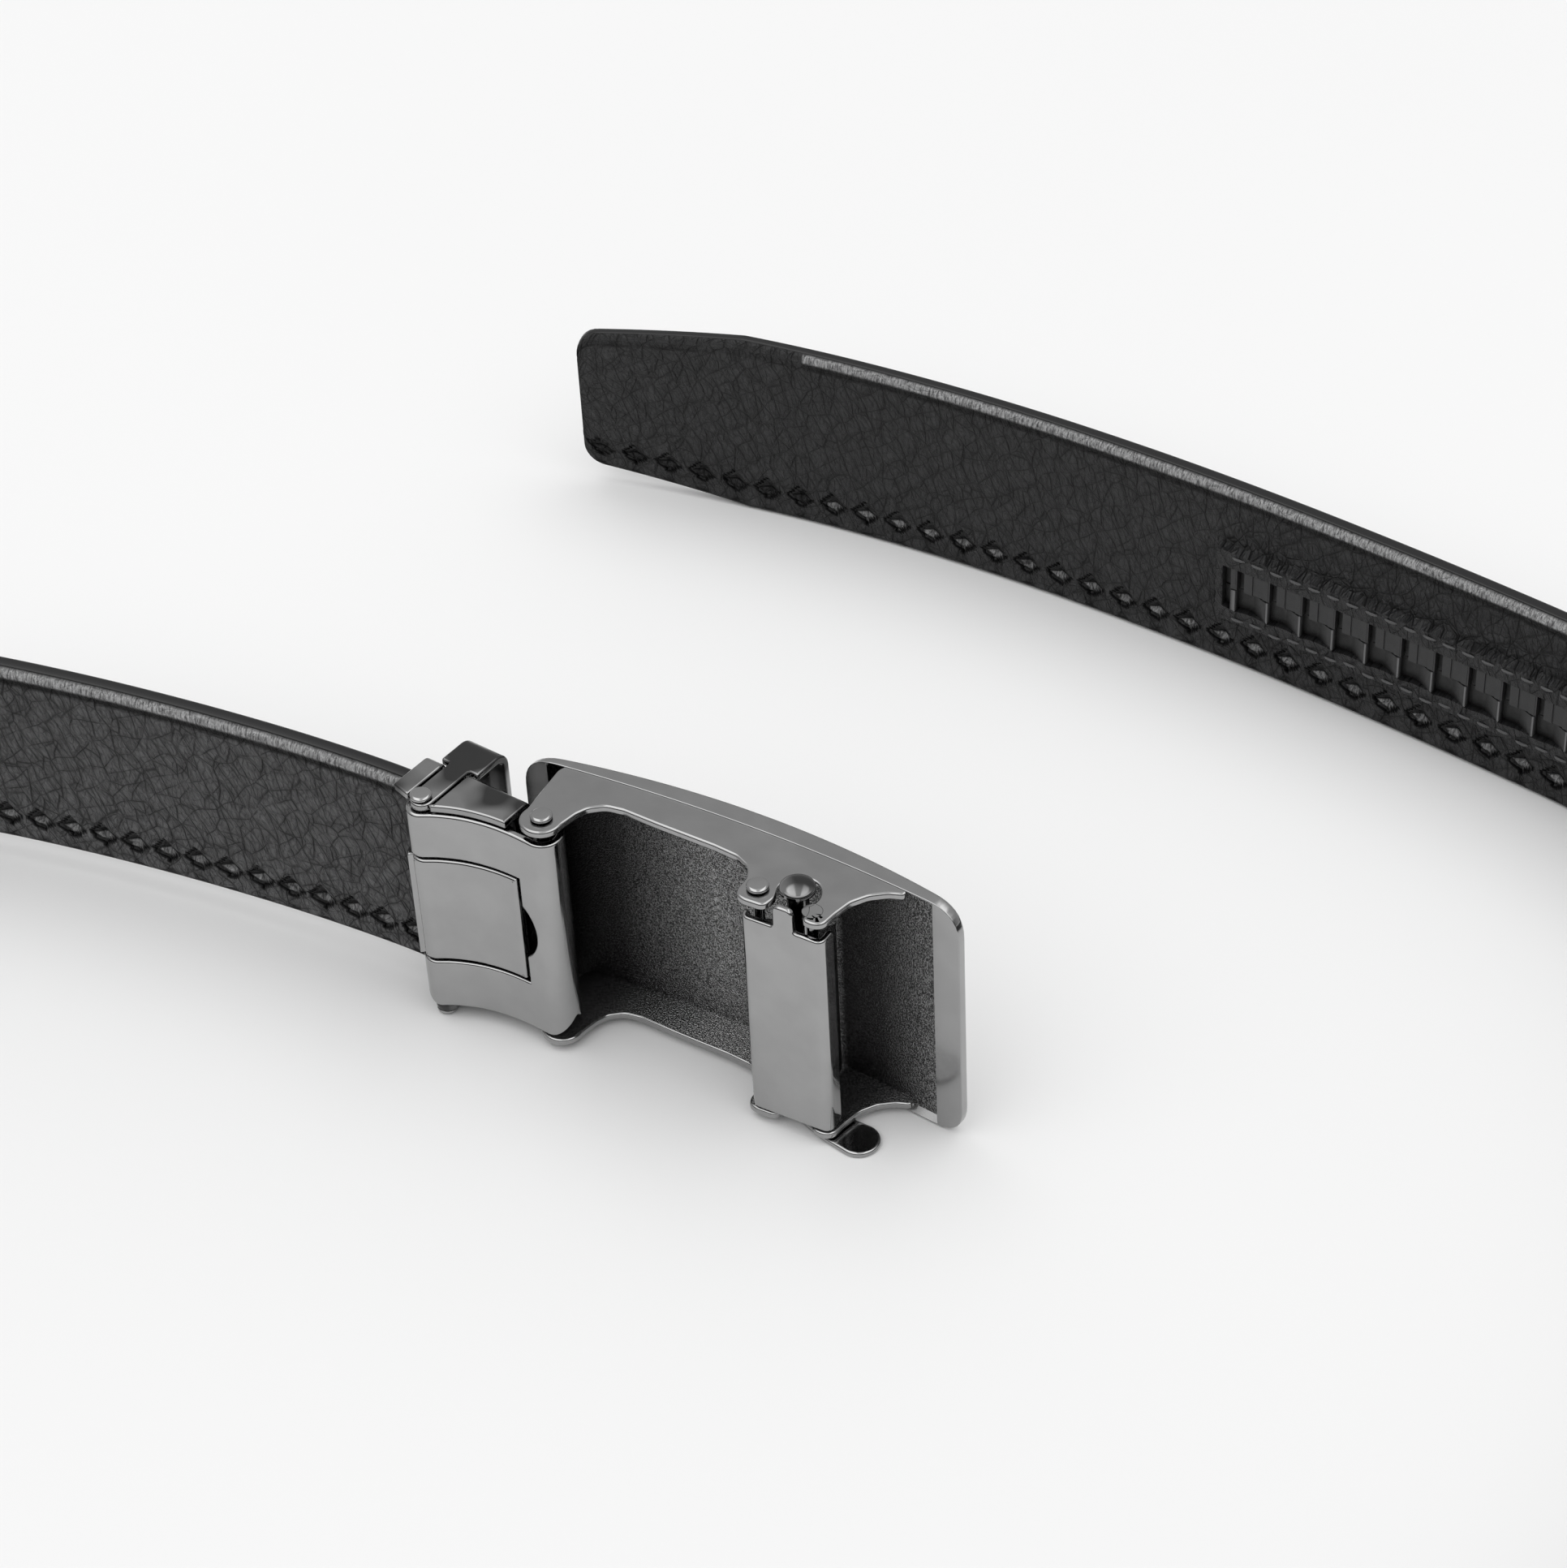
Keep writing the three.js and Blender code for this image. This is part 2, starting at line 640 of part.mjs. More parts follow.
// Outline of a flange between its ears, in shares: of the way from the hinge to the bar and of
// the flange's depth for the scoop, of the ear's radius for both bar ears, and of the way from
// the stop pin to the plate's end for the corner behind it.
const FLANGE_DEEP = 8.9;
const SCOOP = [
  { along: 0.1053, deep: 0.4157 },
  { along: 0.1246, deep: 0.618 },
  { along: 0.1751, deep: 0.809 },
  { along: 0.2552, deep: 0.8876 },
  { along: 0.4332, deep: 0.9213 },
  { along: 0.7151, deep: 1 },
  { along: 0.8368, deep: 1 },
  { along: 0.9199, deep: 0.8876 },
  { along: 0.9585, deep: 0.6629 },
  { along: 0.9644, deep: 0.3933 },
  { along: 0.9852, deep: 0.2472 },
];
const BAR_EAR = [
  { along: -0.121, deep: -0.924 },
  { along: 0.879, deep: -0.788 },
  { along: 0.97, deep: -0.091 },
];
const STOP_EAR = [
  { along: -0.1515, deep: -0.1818 },
  { along: -0.0909, deep: -0.697 },
  { along: 0.4848, deep: -0.697 },
  { along: 0.8788, deep: -0.3939 },
  { along: 0.9091, deep: 0.4242 },
];
const END_CORNER = [
  { along: 0.1932, deep: 0.451 },
  { along: 0.267, deep: 0.6961 },
  { along: 0.375, deep: 0.8725 },
  { along: 0.5, deep: 0.9804 },
];

// Table rows placed from a point, with the sizes that their shares are of.
function placed(rows, x, y, length, depth) {
  return rows.map(({ along: share, deep }) => [x + share * length, y + deep * depth]);
}

function flangeOutline() {
  const endY = PLATE_NEAR_Y + FACES[2].inner * PLATE_BOW;
  const rearL = PLATE_L + 1.5 * PLATE_CORNER_R;
  const rear = asPairs(plateInner, 20)
    .filter(([x]) => x > rearL && x < PLATE_R - 2 * PLATE_CORNER_R)
    .map(([x, y]) => [x, y + SHEET])
    .reverse();
  return [
    ...arc(HINGE_X, HINGE_Y, EAR_R, 168, 372, 12),
    ...placed(SCOOP, HINGE_X, HINGE_Y, BAR_X - HINGE_X, FLANGE_DEEP),
    ...placed(BAR_EAR, BAR_PIN_X, BAR_PIN_Y, EAR_R, EAR_R),
    ...arc(ROD_X, ROD_Y, ROD_NOTCH_R, 215, -35, 12),
    ...placed(STOP_EAR, BAR_PIN2_X, BAR_PIN2_Y, EAR_R, EAR_R),
    ...placed(END_CORNER, BAR_PIN2_X, BAR_PIN2_Y, PLATE_R - BAR_PIN2_X, endY - BAR_PIN2_Y),
    ...rear,
    [rearL - 0.4, PLATE_NEAR_Y + RIM_RECESS],
  ];
}

function plateBody() {
  const inner = asPairs(plateInner, 20);
  const outer = asPairs(plateOuter, 20).reverse();
  const skin = inner.map(([x, y]) => [x, y + PLATE_SKIN]).reverse();
  const shape = new THREE.Shape([...inner, ...outer].map(([x, y]) => new THREE.Vector2(x, y)));
  const g = new THREE.ExtrudeGeometry(shape, {
    depth: PLATE_H - 2 * PLATE_SKIN,
    bevelEnabled: true,
    bevelSegments: 2,
    bevelThickness: PLATE_SKIN,
    bevelSize: PLATE_EDGE,
    bevelOffset: -PLATE_EDGE,
  });
  g.translate(0, 0, BOTTOM + PLATE_SKIN);
  let shell = toSolid(g).add(plan([...inner, ...skin], BOTTOM, TOP));
  const outline = roundedRect(PLATE_L, BOTTOM, PLATE_R, TOP, PLATE_CORNER_R);
  shell = shell.intersect(front(outline, 0, PLATE_NEAR_Y + 3 * PLATE_BOW, 6));
  const between = inner.filter(([x]) => x > PLATE_L + RIM_LEFT && x < PLATE_R - RIM_RIGHT);
  const recess = [
    ...between.map(([x, y]) => [x, y - 1]),
    ...between.map(([x, y]) => [x, y + RIM_RECESS]).reverse(),
  ];
  shell = shell.subtract(plan(recess, FLANGE_BOT, FLANGE_TOP));
  const flange = flangeOutline();
  let body = Manifold.union([
    shell,
    plan(flange, FLANGE_TOP - SHEET, FLANGE_TOP),
    plan(flange, FLANGE_BOT, FLANGE_BOT + SHEET),
  ]);
  for (const [x, y] of [[HINGE_X, HINGE_Y], [BAR_PIN_X, BAR_PIN_Y], [BAR_PIN2_X, BAR_PIN2_Y]]) {
    body = body.subtract(post(x, y, PIN_R + GAP, BOTTOM - 1, TOP + 1));
  }
  return body;
}

const headZ0 = FLANGE_BOT - GAP - HEAD_T;
const headZ1 = FLANGE_TOP + GAP + HEAD_T;
const hingePin = rivet(HINGE_X, HINGE_Y, PIN_R, HEAD_R, HEAD_T, headZ0, headZ1);
const barPin = rivet(BAR_PIN_X, BAR_PIN_Y, BAR_PIN_R, HEAD_R, HEAD_T, headZ0, headZ1);
const STOP_SINK = 0.35;
const stopPin = post(
  BAR_PIN2_X,
  BAR_PIN2_Y,
  BAR_PIN_R,
  FLANGE_BOT + STOP_SINK,
  FLANGE_TOP - STOP_SINK,
  16,
);

// Fixed bar across the plate: a folded channel that hides the pawl.
function barBody() {
  const z0 = FLANGE_BOT + SHEET + GAP;
  const z1 = FLANGE_TOP - SHEET - BAR_DOWN;
  const a = THREE.MathUtils.degToRad(BAR_TURN);
  const place = ([x, y]) => [
    BAR_X + x * Math.cos(a) - y * Math.sin(a),
    BAR_Y + x * Math.sin(a) + y * Math.cos(a),
  ];
  const r = BAR_CORNER_R;
  const section = [
    ...arc(r, r, r, 180, 270, 4),
    ...arc(BAR_LEN - r, r, r, 270, 360, 4),
    [BAR_LEN, BAR_DEPTH],
    [BAR_LEN - BAR_SHEET, BAR_DEPTH],
    [BAR_LEN - BAR_SHEET, BAR_SHEET],
    [BAR_SHEET, BAR_SHEET],
    [BAR_SHEET * 0.5, r],
    [0, r],
  ].map(place);
  const lugR = BAR_LUG_AT + BAR_LUG_W;
  const lug = [
    [BAR_LUG_AT, BAR_SHEET / 2],
    [lugR, BAR_SHEET / 2],
    [lugR, BAR_DEPTH],
    [BAR_LUG_AT, BAR_DEPTH],
  ].map(place);
  const body = plan(section, z0, z1).add(plan(lug, z1 - BAR_LUG_UP, z1 + BAR_LUG_UP));
  return body.subtract(post(ROD_X, ROD_Y, ROD_R + SHEET, z0, z1 + 2 * BAR_LUG_UP));
}

// Pawl: toothed leaf that swings on the first bar pin and grips the tooth strip. Its outline is
// in shares of the leaf's length, from the pin.
const LEAF = [
  { along: 0.3077, deep: 0.044 },
  { along: 0.7692, deep: 0.2198 },
  { along: 0.978, deep: 0.2637 },
  { along: 1, deep: 0.4945 },
  { along: 0.9451, deep: 0.6923 },
  { along: 0.8132, deep: 0.4945 },
  { along: 0.6813, deep: 0.4835 },
  { along: 0.6044, deep: 0.6813 },
  { along: 0.4176, deep: 0.4725 },
  { along: 0.2198, deep: 0.3297 },
];

function pawlBody() {
  const leaf = [
    ...arc(BAR_PIN_X, BAR_PIN_Y, 2 * BAR_PIN_R, 120, 290, 8),
    ...placed(LEAF, BAR_PIN_X, BAR_PIN_Y, PAWL_L, PAWL_L),
  ];
  const z0 = MID - PAWL_HALF_H;
  const z1 = MID + PAWL_HALF_H;
  let body = plan(leaf, z0, z1);
  body = body.subtract(post(BAR_PIN_X, BAR_PIN_Y, BAR_PIN_R + GAP, z0 - 1, z1 + 1));
  return body.subtract(post(ROD_X, ROD_Y, ROD_R + GAP / 2, z0 - 1, z1 + 1));
}

const rodBase = FLANGE_TOP + GAP;
const pawlRod = turned(ROD_X, ROD_Y, [
  [0, GAP],
  [ROD_FOOT_R, GAP],
  [ROD_FOOT_R, LEVER_T + GAP],
  [ROD_R, LEVER_T + GAP],
  [ROD_R, rodBase],
  [DOME_R, rodBase],
  [DOME_R, rodBase + 0.3],
  [DOME_R * 0.86, rodBase + DOME_H * 0.55],
  [DOME_R * 0.5, rodBase + DOME_H * 0.9],
  [0, rodBase + DOME_H],
]);

// Release lever: paddle under the lower flange, fixed to the rod. Its edges are in shares of its
// length, from the rod.
const LEVER_DROP = 1;
const LEVER_FRONT = [
  { along: 0.2165, deep: -0.3093 },
  { along: 0.567, deep: -0.3918 },
];
const LEVER_REAR = [
  { along: 0.7113, deep: 0.2062 },
  { along: 0.3608, deep: 0.2268 },
];

function leverBody() {
  const hub = arc(ROD_X, ROD_Y, LEVER_HUB_R, 70, 250, 8);
  const endX = ROD_X + LEVER_L;
  const endY = ROD_Y - LEVER_DROP;
  const paddle = [
    ...hub,
    ...placed(LEVER_FRONT, ROD_X, ROD_Y, LEVER_L, LEVER_L),
    ...arc(endX, endY, LEVER_END_R, 265, 450, 10),
    ...placed(LEVER_REAR, ROD_X, ROD_Y, LEVER_L, LEVER_L),
  ];
  const hole = post(ROD_X, ROD_Y, ROD_FOOT_R + GAP, -1, 2 * LEVER_T + 1);
  return plan(paddle, 0, LEVER_T).subtract(hole);
}

// Section: assembly
function surface(color, metalness, roughness) {
  return new THREE.MeshStandardMaterial({ color, metalness, roughness });
}

const gunmetal = () => surface(0x5a5b5e, 1, 0.14);
const parts = new THREE.Group();
parts.name = "ratchet_belt";

function add(group, name, solid, material) {
  const mesh = new THREE.Mesh(toGeometry(solid), material);
  mesh.name = name;
  group.add(mesh);
  return mesh;
}

const strapGroup = new THREE.Group();
const buckle = new THREE.Group();
add(strapGroup, "strap", strap, surface(0x1c1c1d, 0, 0.55));
add(strapGroup, "ratchet_track", track, surface(0x161617, 0, 0.45));
add(buckle, "clamp_channel", channelBody(), gunmetal());
add(buckle, "clamp_cover", coverBody(), gunmetal());
add(buckle, "clamp_flap", flapBody(), gunmetal());
add(buckle, "clamp_pin", clampPin, gunmetal());
add(buckle, "keeper_loop", keeperBody(), gunmetal());
add(buckle, "buckle_plate", plateBody(), gunmetal());
add(buckle, "hinge_pin", hingePin, gunmetal());
add(buckle, "bridge_bar", barBody(), gunmetal());
add(buckle, "bar_pin", barPin, gunmetal());
add(buckle, "stop_pin", stopPin, gunmetal());
add(buckle, "pawl", pawlBody(), gunmetal());
add(buckle, "pawl_rod", pawlRod, gunmetal());
add(buckle, "release_lever", leverBody(), gunmetal());
parts.add(strapGroup, buckle);
const box = new THREE.Box3().setFromObject(parts, true);
const centre = box.getCenter(new THREE.Vector3());
for (const group of [strapGroup, buckle]) group.position.set(-centre.x, -centre.y, -box.min.z);
parts.updateMatrixWorld(true);

export default parts;
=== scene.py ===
"""Looks of the ratchet belt: leather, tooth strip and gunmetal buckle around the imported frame."""
import math

import bmesh
import bpy
import numpy as np
from mathutils import Matrix, Vector
from mathutils.geometry import delaunay_2d_cdt


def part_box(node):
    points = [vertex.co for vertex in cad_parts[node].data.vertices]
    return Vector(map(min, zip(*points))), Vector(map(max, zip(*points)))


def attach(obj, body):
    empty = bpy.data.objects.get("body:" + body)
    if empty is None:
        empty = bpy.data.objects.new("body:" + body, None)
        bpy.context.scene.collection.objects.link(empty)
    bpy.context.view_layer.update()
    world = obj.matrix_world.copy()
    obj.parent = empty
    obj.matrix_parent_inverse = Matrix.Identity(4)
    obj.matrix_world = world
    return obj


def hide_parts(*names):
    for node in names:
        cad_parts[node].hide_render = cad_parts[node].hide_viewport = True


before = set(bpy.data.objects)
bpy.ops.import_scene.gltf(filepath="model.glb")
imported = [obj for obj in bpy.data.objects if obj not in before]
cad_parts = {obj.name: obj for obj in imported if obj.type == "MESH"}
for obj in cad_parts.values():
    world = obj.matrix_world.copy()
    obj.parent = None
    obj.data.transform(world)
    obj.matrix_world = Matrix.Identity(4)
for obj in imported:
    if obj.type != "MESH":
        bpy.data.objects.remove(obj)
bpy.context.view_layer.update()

MM = 0.001

# Sizes in millimetres: those of the solids, and those of the details that are added here
HINGE = np.array([20.4, 6.9])
MID = 22.0
SHEET = 1.2
GAP = 0.25
PIN = np.array([1.7, 2.0])
BEND_R = 2.5
KNUCKLE_R = 3.1
CLAMP_TOP = MID + 19.8
CLAMP_BOT = MID - 19.2
CLAMP_L = -3.8
CLAMP_R = 15.5
WALL_Y = 9.0
WALL_FAR = WALL_Y + SHEET
WALL_BEND = 1.15
COVER_TOP = CLAMP_TOP - SHEET - GAP
COVER_CORNER = 3.4
WINDOW_L = 0.55
WINDOW_R = 17.4
WINDOW_HALF = 10.2
NOTCH_R = 6.6
NOTCH_DEEP = 2.3
FLAP_R = 16.85
FLAP_GAP = 0.45
SLOT_GAP = 0.42
CAM_R = 3.05
NECK_W = 3.8
KEEPER_W = 7.0
KEEPER_X = 1.85
KEEPER_STEP = WALL_FAR + GAP
KEEPER_FAR = 17.4
KEEPER_BEND = 2.4
PLATE_BOT = MID - 21.7
PLATE_TOP = PLATE_BOT + 43.0
PLATE_L = 9.2
PLATE_R = 82.2
PLATE_CORNER = 4.6
RECESS_L = 13.0
RECESS_R = 77.6
RECESS = 0.8
WALL_RUN = 0.06
FLANGE_TOP = PLATE_TOP - 0.2
FLANGE_BOT = PLATE_BOT + 1.0
EAR_R = 3.3
BAR_AT = np.array([54.1, 8.8])
BAR_LEN = 13.4
BAR_TURN = math.radians(6.5)
BAR_DEPTH = 3.6
BAR_SHEET = 0.95
BAR_CORNER = 1.3
LUG_L = 5.2
LUG_R = 8.3
LUG_UP = 3.9
BAR_PIN = np.array([55.4, 11.9])
STOP_PIN = np.array([64.6, 12.2])
ROD = np.array([60.5, 14.4])
ROD_R = 1.6
ROD_FOOT_R = 1.1
DOME_R = 2.65
DOME_H = 1.65
LEVER_T = 1.0
HEAD_R = 1.65
HEAD_H = 0.6
PIN_R = 1.0
BAR_PIN_R = 0.85

STRAP_W = 35.0
STRAP_T = 3.5
STRAP_START = 13.5
STRAP_INNER_Y = 5.2
TIP_T = 2.4
TIP_W = 27.0
TIP_TAPER = 31.0
TIP_CORNER_R = 3.5
THIN_RUN = 110.0
STRAP_LIFT = MID - STRAP_W / 2
LIFT_HOLD = 110.0
LIFT_END = 460.0
SEAM_UP = 5.2
SEAM_ROOM = 9.0
FOLD_FROM_TIP = 43.0
TRACK_FROM_TIP = 123.4
TRACK_W = 14.0
TRACK_UP = 9.8
TRACK_T = 1.3
LAID = 0.12
TRACK_LEAD = 3.1
TOOTH_PITCH = 6.25
TEETH = 38
STITCH_PITCH = 3.6
STITCH_L = 2.3
STITCH_R = 0.24
STITCH_RISE = 0.2

# The strap's way round, as arcs: length in millimetres and turn in degrees to the left.
RUNS = [
    (14.5, 0.0),
    (9.0, 6.44),
    (22.0, 3.75),
    (24.0, 3.11),
    (24.0, 3.58),
    (123.2, 72.18),
    (140.8, 74.26),
    (176.0, 45.69),
    (176.0, 35.54),
    (140.8, 54.4),
    (123.2, 56.31),
    (45.0, 2.89),
    (45.0, 4.32),
    (45.0, 6.66),
    (50.2, 11.3),
]
STRAP_LEN = sum(length for length, _ in RUNS)
TRACK_END = STRAP_LEN - TRACK_FROM_TIP
TRACK_START = TRACK_END - TEETH * TOOTH_PITCH - 2 * TRACK_LEAD

PIN_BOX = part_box("hinge_pin")
ORIGIN = np.array([(PIN_BOX[0].x + PIN_BOX[1].x) / 2 - HINGE[0] * MM,
                   (PIN_BOX[0].y + PIN_BOX[1].y) / 2 - HINGE[1] * MM, 0.0])


def place(points):
    """Buckle coordinates in millimetres to the frame's metres."""
    return np.asarray(points, float) * MM + ORIGIN


# Outlines
def arc(centre, radius, start, stop, count):
    angles = np.radians(np.linspace(start, stop, count + 1))
    return np.stack([centre[0] + radius * np.cos(angles), centre[1] + radius * np.sin(angles)], 1)


def spline(points, per=12):
    """Smooth line through the points."""
    p = np.asarray(points, float)
    p = np.vstack([2 * p[0] - p[1], p, 2 * p[-1] - p[-2]])
    out = []
    for a, b, c, d in zip(p[:-3], p[1:-2], p[2:-1], p[3:]):
        for t in np.linspace(0, 1, per, endpoint=False):
            out.append(0.5 * (2 * b + (c - a) * t + (2 * a - 5 * b + 4 * c - d) * t * t
                              + (3 * b - a - 3 * c + d) * t ** 3))
    out.append(p[-2])
    return np.array(out)


def bezier(a, b, c, t):
    t = np.asarray(t, float)[..., None]
    return (1 - t) ** 2 * np.array(a) + 2 * t * (1 - t) * np.array(b) + t * t * np.array(c)


def fillet(points, radius):
    """Closed outline with each corner rounded by up to radius."""
    p = np.asarray(points, float)
    radii = np.broadcast_to(radius, (len(p),))
    out = []
    for i, at in enumerate(p):
        back, ahead = p[i - 1] - at, p[(i + 1) % len(p)] - at
        lb, la = np.linalg.norm(back), np.linalg.norm(ahead)
        cosine = np.clip(-(back @ ahead) / (lb * la), -1, 1)
        turn = math.acos(cosine)
        reach = min(radii[i] * math.tan(turn / 2) + 1e-6, 0.49 * lb, 0.49 * la)
        count = max(1, int(math.ceil(math.degrees(turn) / 11)))
        a, b = at + back / lb * reach, at + ahead / la * reach
        out.extend(bezier(a, at, b, np.linspace(0, 1, count + 1)))
    return np.array(out)


def resample(loop, step):
    """Closed outline with no edge longer than step and none near zero."""
    out = []
    for a, b in zip(loop, np.roll(loop, -1, 0)):
        length = np.linalg.norm(b - a)
        if length < 0.02:
            continue
        count = max(1, int(math.ceil(length / step)))
        out.extend(a + (b - a) * k / count for k in range(count))
    return np.array(out)


def area(loop):
    x, y = loop[:, 0], loop[:, 1]
    return 0.5 * np.sum(x * np.roll(y, -1) - np.roll(x, -1) * y)


def inset(loop, distance):
    """Moves an outline to its left: into the material for outer loops and for reversed holes."""
    before = loop - np.roll(loop, 1, 0)
    after = np.roll(loop, -1, 0) - loop
    before /= np.linalg.norm(before, axis=1)[:, None]
    after /= np.linalg.norm(after, axis=1)[:, None]
    n1 = np.stack([-before[:, 1], before[:, 0]], 1)
    n2 = np.stack([-after[:, 1], after[:, 0]], 1)
    mean = n1 + n2
    mean /= np.linalg.norm(mean, axis=1)[:, None] + 1e-9
    share = np.maximum(np.sum(mean * n1, 1), 0.6)
    return loop + mean * (distance / share)[:, None]


def inside(points, loops):
    hit = np.zeros(len(points), bool)
    x, y = points[:, 0], points[:, 1]
    for loop in loops:
        for (ax, ay), (bx, by) in zip(loop, np.roll(loop, -1, 0)):
            if ay == by:
                continue
            cross = (ay > y) != (by > y)
            hit ^= cross & (x < (bx - ax) * (y - ay) / (by - ay) + ax)
    return hit


def clear(points, loops, distance):
    """True where a point is further than distance from every outline point."""
    good = np.ones(len(points), bool)
    for loop in loops:
        for start in range(0, len(loop), 64):
            part = loop[start:start + 64]
            gaps = np.linalg.norm(points[:, None] - part[None], axis=2).min(1)
            good &= gaps > distance
    return good


# Meshes
def new_object(name, verts, faces, smooth=40):
    mesh = bpy.data.meshes.new(name)
    mesh.from_pydata([tuple(v) for v in verts], [], [tuple(int(i) for i in f) for f in faces])
    mesh.update()
    mesh.shade_smooth()
    if smooth < 180:
        mesh.set_sharp_from_angle(angle=math.radians(smooth))
    obj = bpy.data.objects.new(name, mesh)
    bpy.context.scene.collection.objects.link(obj)
    return obj


def join(name, parts, smooth=40, flat=None, zones=None):
    """One mesh from several (verts, faces, material index) pieces, verts in buckle millimetres."""
    verts, faces, slots, base = [], [], [], 0
    for v, f, slot in parts:
        verts.append(np.asarray(v, float))
        faces.extend([tuple(i + base for i in face) for face in f])
        slots.extend([slot] * len(f) if np.isscalar(slot) else list(slot))
        base += len(v)
    obj = new_object(name, place(np.vstack(verts)), faces, smooth)
    obj.data.polygons.foreach_set("material_index", slots)
    for kind, values in (("flat", flat), ("zones", zones)):
        if values is not None:
            layer = obj.data.attributes.new(kind, "FLOAT_VECTOR", "POINT")
            layer.data.foreach_set("vector", np.asarray(values, np.float32).ravel())
    weigh = obj.modifiers.new("weighted", "WEIGHTED_NORMAL")
    weigh.keep_sharp = True
    return obj


def sheet(loops, front, back, edge_front, edge_back, grid_u, grid_v, step=0.45, steps=4):
    """Solid between two surfaces, cut to outlines, with rounded edges.

    loops are outlines in (u, v), the first one outside and the rest holes. front and back
    give points of both surfaces, and each edge is rounded towards the other surface.
    """
    rings_in = []
    for i, loop in enumerate(loops):
        loop = resample(np.asarray(loop, float), step)
        if (area(loop) > 0) != (i == 0):
            loop = loop[::-1]
        rings_in.append(loop)
    verts, faces = [], []
    hold = 0.06
    angles = np.linspace(0, math.pi / 2, steps + 1)
    sides = {}
    count = 0
    for side, edge, here, there in (("f", edge_front, front, back), ("b", edge_back, back, front)):
        rings = []
        for loop in rings_in:
            stack = []
            shifts = [(edge * (1 - math.cos(a)), edge * (1 - math.sin(a))) for a in angles]
            for shift, sink in shifts + [(edge + hold, 0.0)]:
                at = inset(loop, shift)
                near, far = here(at[:, 0], at[:, 1]), there(at[:, 0], at[:, 1])
                way = (far - near) / np.linalg.norm(far - near, axis=1)[:, None]
                verts.append(near + way * sink)
                stack.append(count)
                count += len(at)
            for lower, upper in zip(stack[:-1], stack[1:]):
                n = len(loop)
                for k in range(n):
                    j = (k + 1) % n
                    faces.append((lower + k, lower + j, upper + j, upper + k))
            rings.append((stack, inset(loop, edge + hold)))
        sides[side] = rings
        flat = [r[1] for r in rings]
        grid = np.array([(u, v) for u in grid_u for v in grid_v], float).reshape(-1, 2)
        if len(grid):
            grid = grid[inside(grid, flat)]
        if len(grid):
            grid = grid[clear(grid, flat, step * 0.6)]
        first = count
        if len(grid):
            verts.append(here(grid[:, 0], grid[:, 1]))
            count += len(grid)
        coords, edges, ids = [], [], []
        for stack, ring in rings:
            base = len(coords)
            coords.extend(ring)
            ids.extend(stack[-1] + k for k in range(len(ring)))
            edges.extend((base + k, base + (k + 1) % len(ring)) for k in range(len(ring)))
        coords.extend(grid)
        ids.extend(first + k for k in range(len(grid)))
        result = delaunay_2d_cdt([Vector(c) for c in coords], edges, [], 2, 1e-7)
        names = [ids[o[0]] if o else None for o in result[3]]
        for face in result[2]:
            face = [names[i] for i in face]
            if None not in face:
                faces.append(tuple(face))
    for (stack_f, _), (stack_b, _), loop in zip(sides["f"], sides["b"], rings_in):
        n = len(loop)
        for k in range(n):
            j = (k + 1) % n
            faces.append((stack_f[0] + k, stack_b[0] + k, stack_b[0] + j, stack_f[0] + j))
    return outward(np.vstack(verts), faces)


def outward(verts, faces):
    """Turns all faces of a closed mesh outward."""
    bm = bmesh.new()
    bv = [bm.verts.new(v) for v in verts]
    for face in faces:
        if len(set(face)) >= 3:
            try:
                bm.faces.new([bv[i] for i in face])
            except ValueError:
                pass
    bmesh.ops.recalc_face_normals(bm, faces=bm.faces)
    bm.verts.index_update()
    out_v = np.array([v.co for v in bm.verts])
    out_f = [tuple(v.index for v in f.verts) for f in bm.faces]
    bm.free()
    return out_v, out_f


def flat_front(z):
    return lambda u, v: np.stack([u, v, np.full_like(u, z)], 1)


def slab(outline, z0, z1, edge=0.3, holes=(), step=0.5):
    """Level plate with rounded edges from a plan outline."""
    return sheet([outline, *holes], flat_front(z1), flat_front(z0), edge, edge, [], [], step)


def lathe(centre, profile, sides=48):
    """Turned solid on a vertical axis from (radius, height) points on the axis at both ends."""
    profile = np.asarray(profile, float)
    verts, faces = [], []
    turn = np.linspace(0, 2 * math.pi, sides, endpoint=False)
    for r, z in profile[1:-1]:
        verts.append(np.stack([centre[0] + r * np.cos(turn), centre[1] + r * np.sin(turn),
                               np.full(sides, z)], 1))
    rows = len(profile) - 2
    for i in range(rows - 1):
        for k in range(sides):
            j = (k + 1) % sides
            faces.append((i * sides + k, i * sides + j, (i + 1) * sides + j, (i + 1) * sides + k))
    ends = [(centre[0], centre[1], profile[0][1]), (centre[0], centre[1], profile[-1][1])]
    verts.append(np.array(ends))
    start, stop = rows * sides, rows * sides + 1
    for k in range(sides):
        j = (k + 1) % sides
        faces.append((start, j, k))
        faces.append((stop, (rows - 1) * sides + k, (rows - 1) * sides + j))
    return outward(np.vstack(verts), faces)


def rounded_profile(points, radius):
    """Open profile with its inner corners rounded."""
    p = np.asarray(points, float)
    out = [p[0]]
    for a, b, c in zip(p[:-2], p[1:-1], p[2:]):
        la, lc = np.linalg.norm(a - b), np.linalg.norm(c - b)
        reach = min(radius, 0.45 * la, 0.45 * lc)
        out.extend(bezier(b + (a - b) / la * reach, b, b + (c - b) / lc * reach,
                          np.linspace(0, 1, 5)))
    out.append(p[-1])
    return np.array(out)


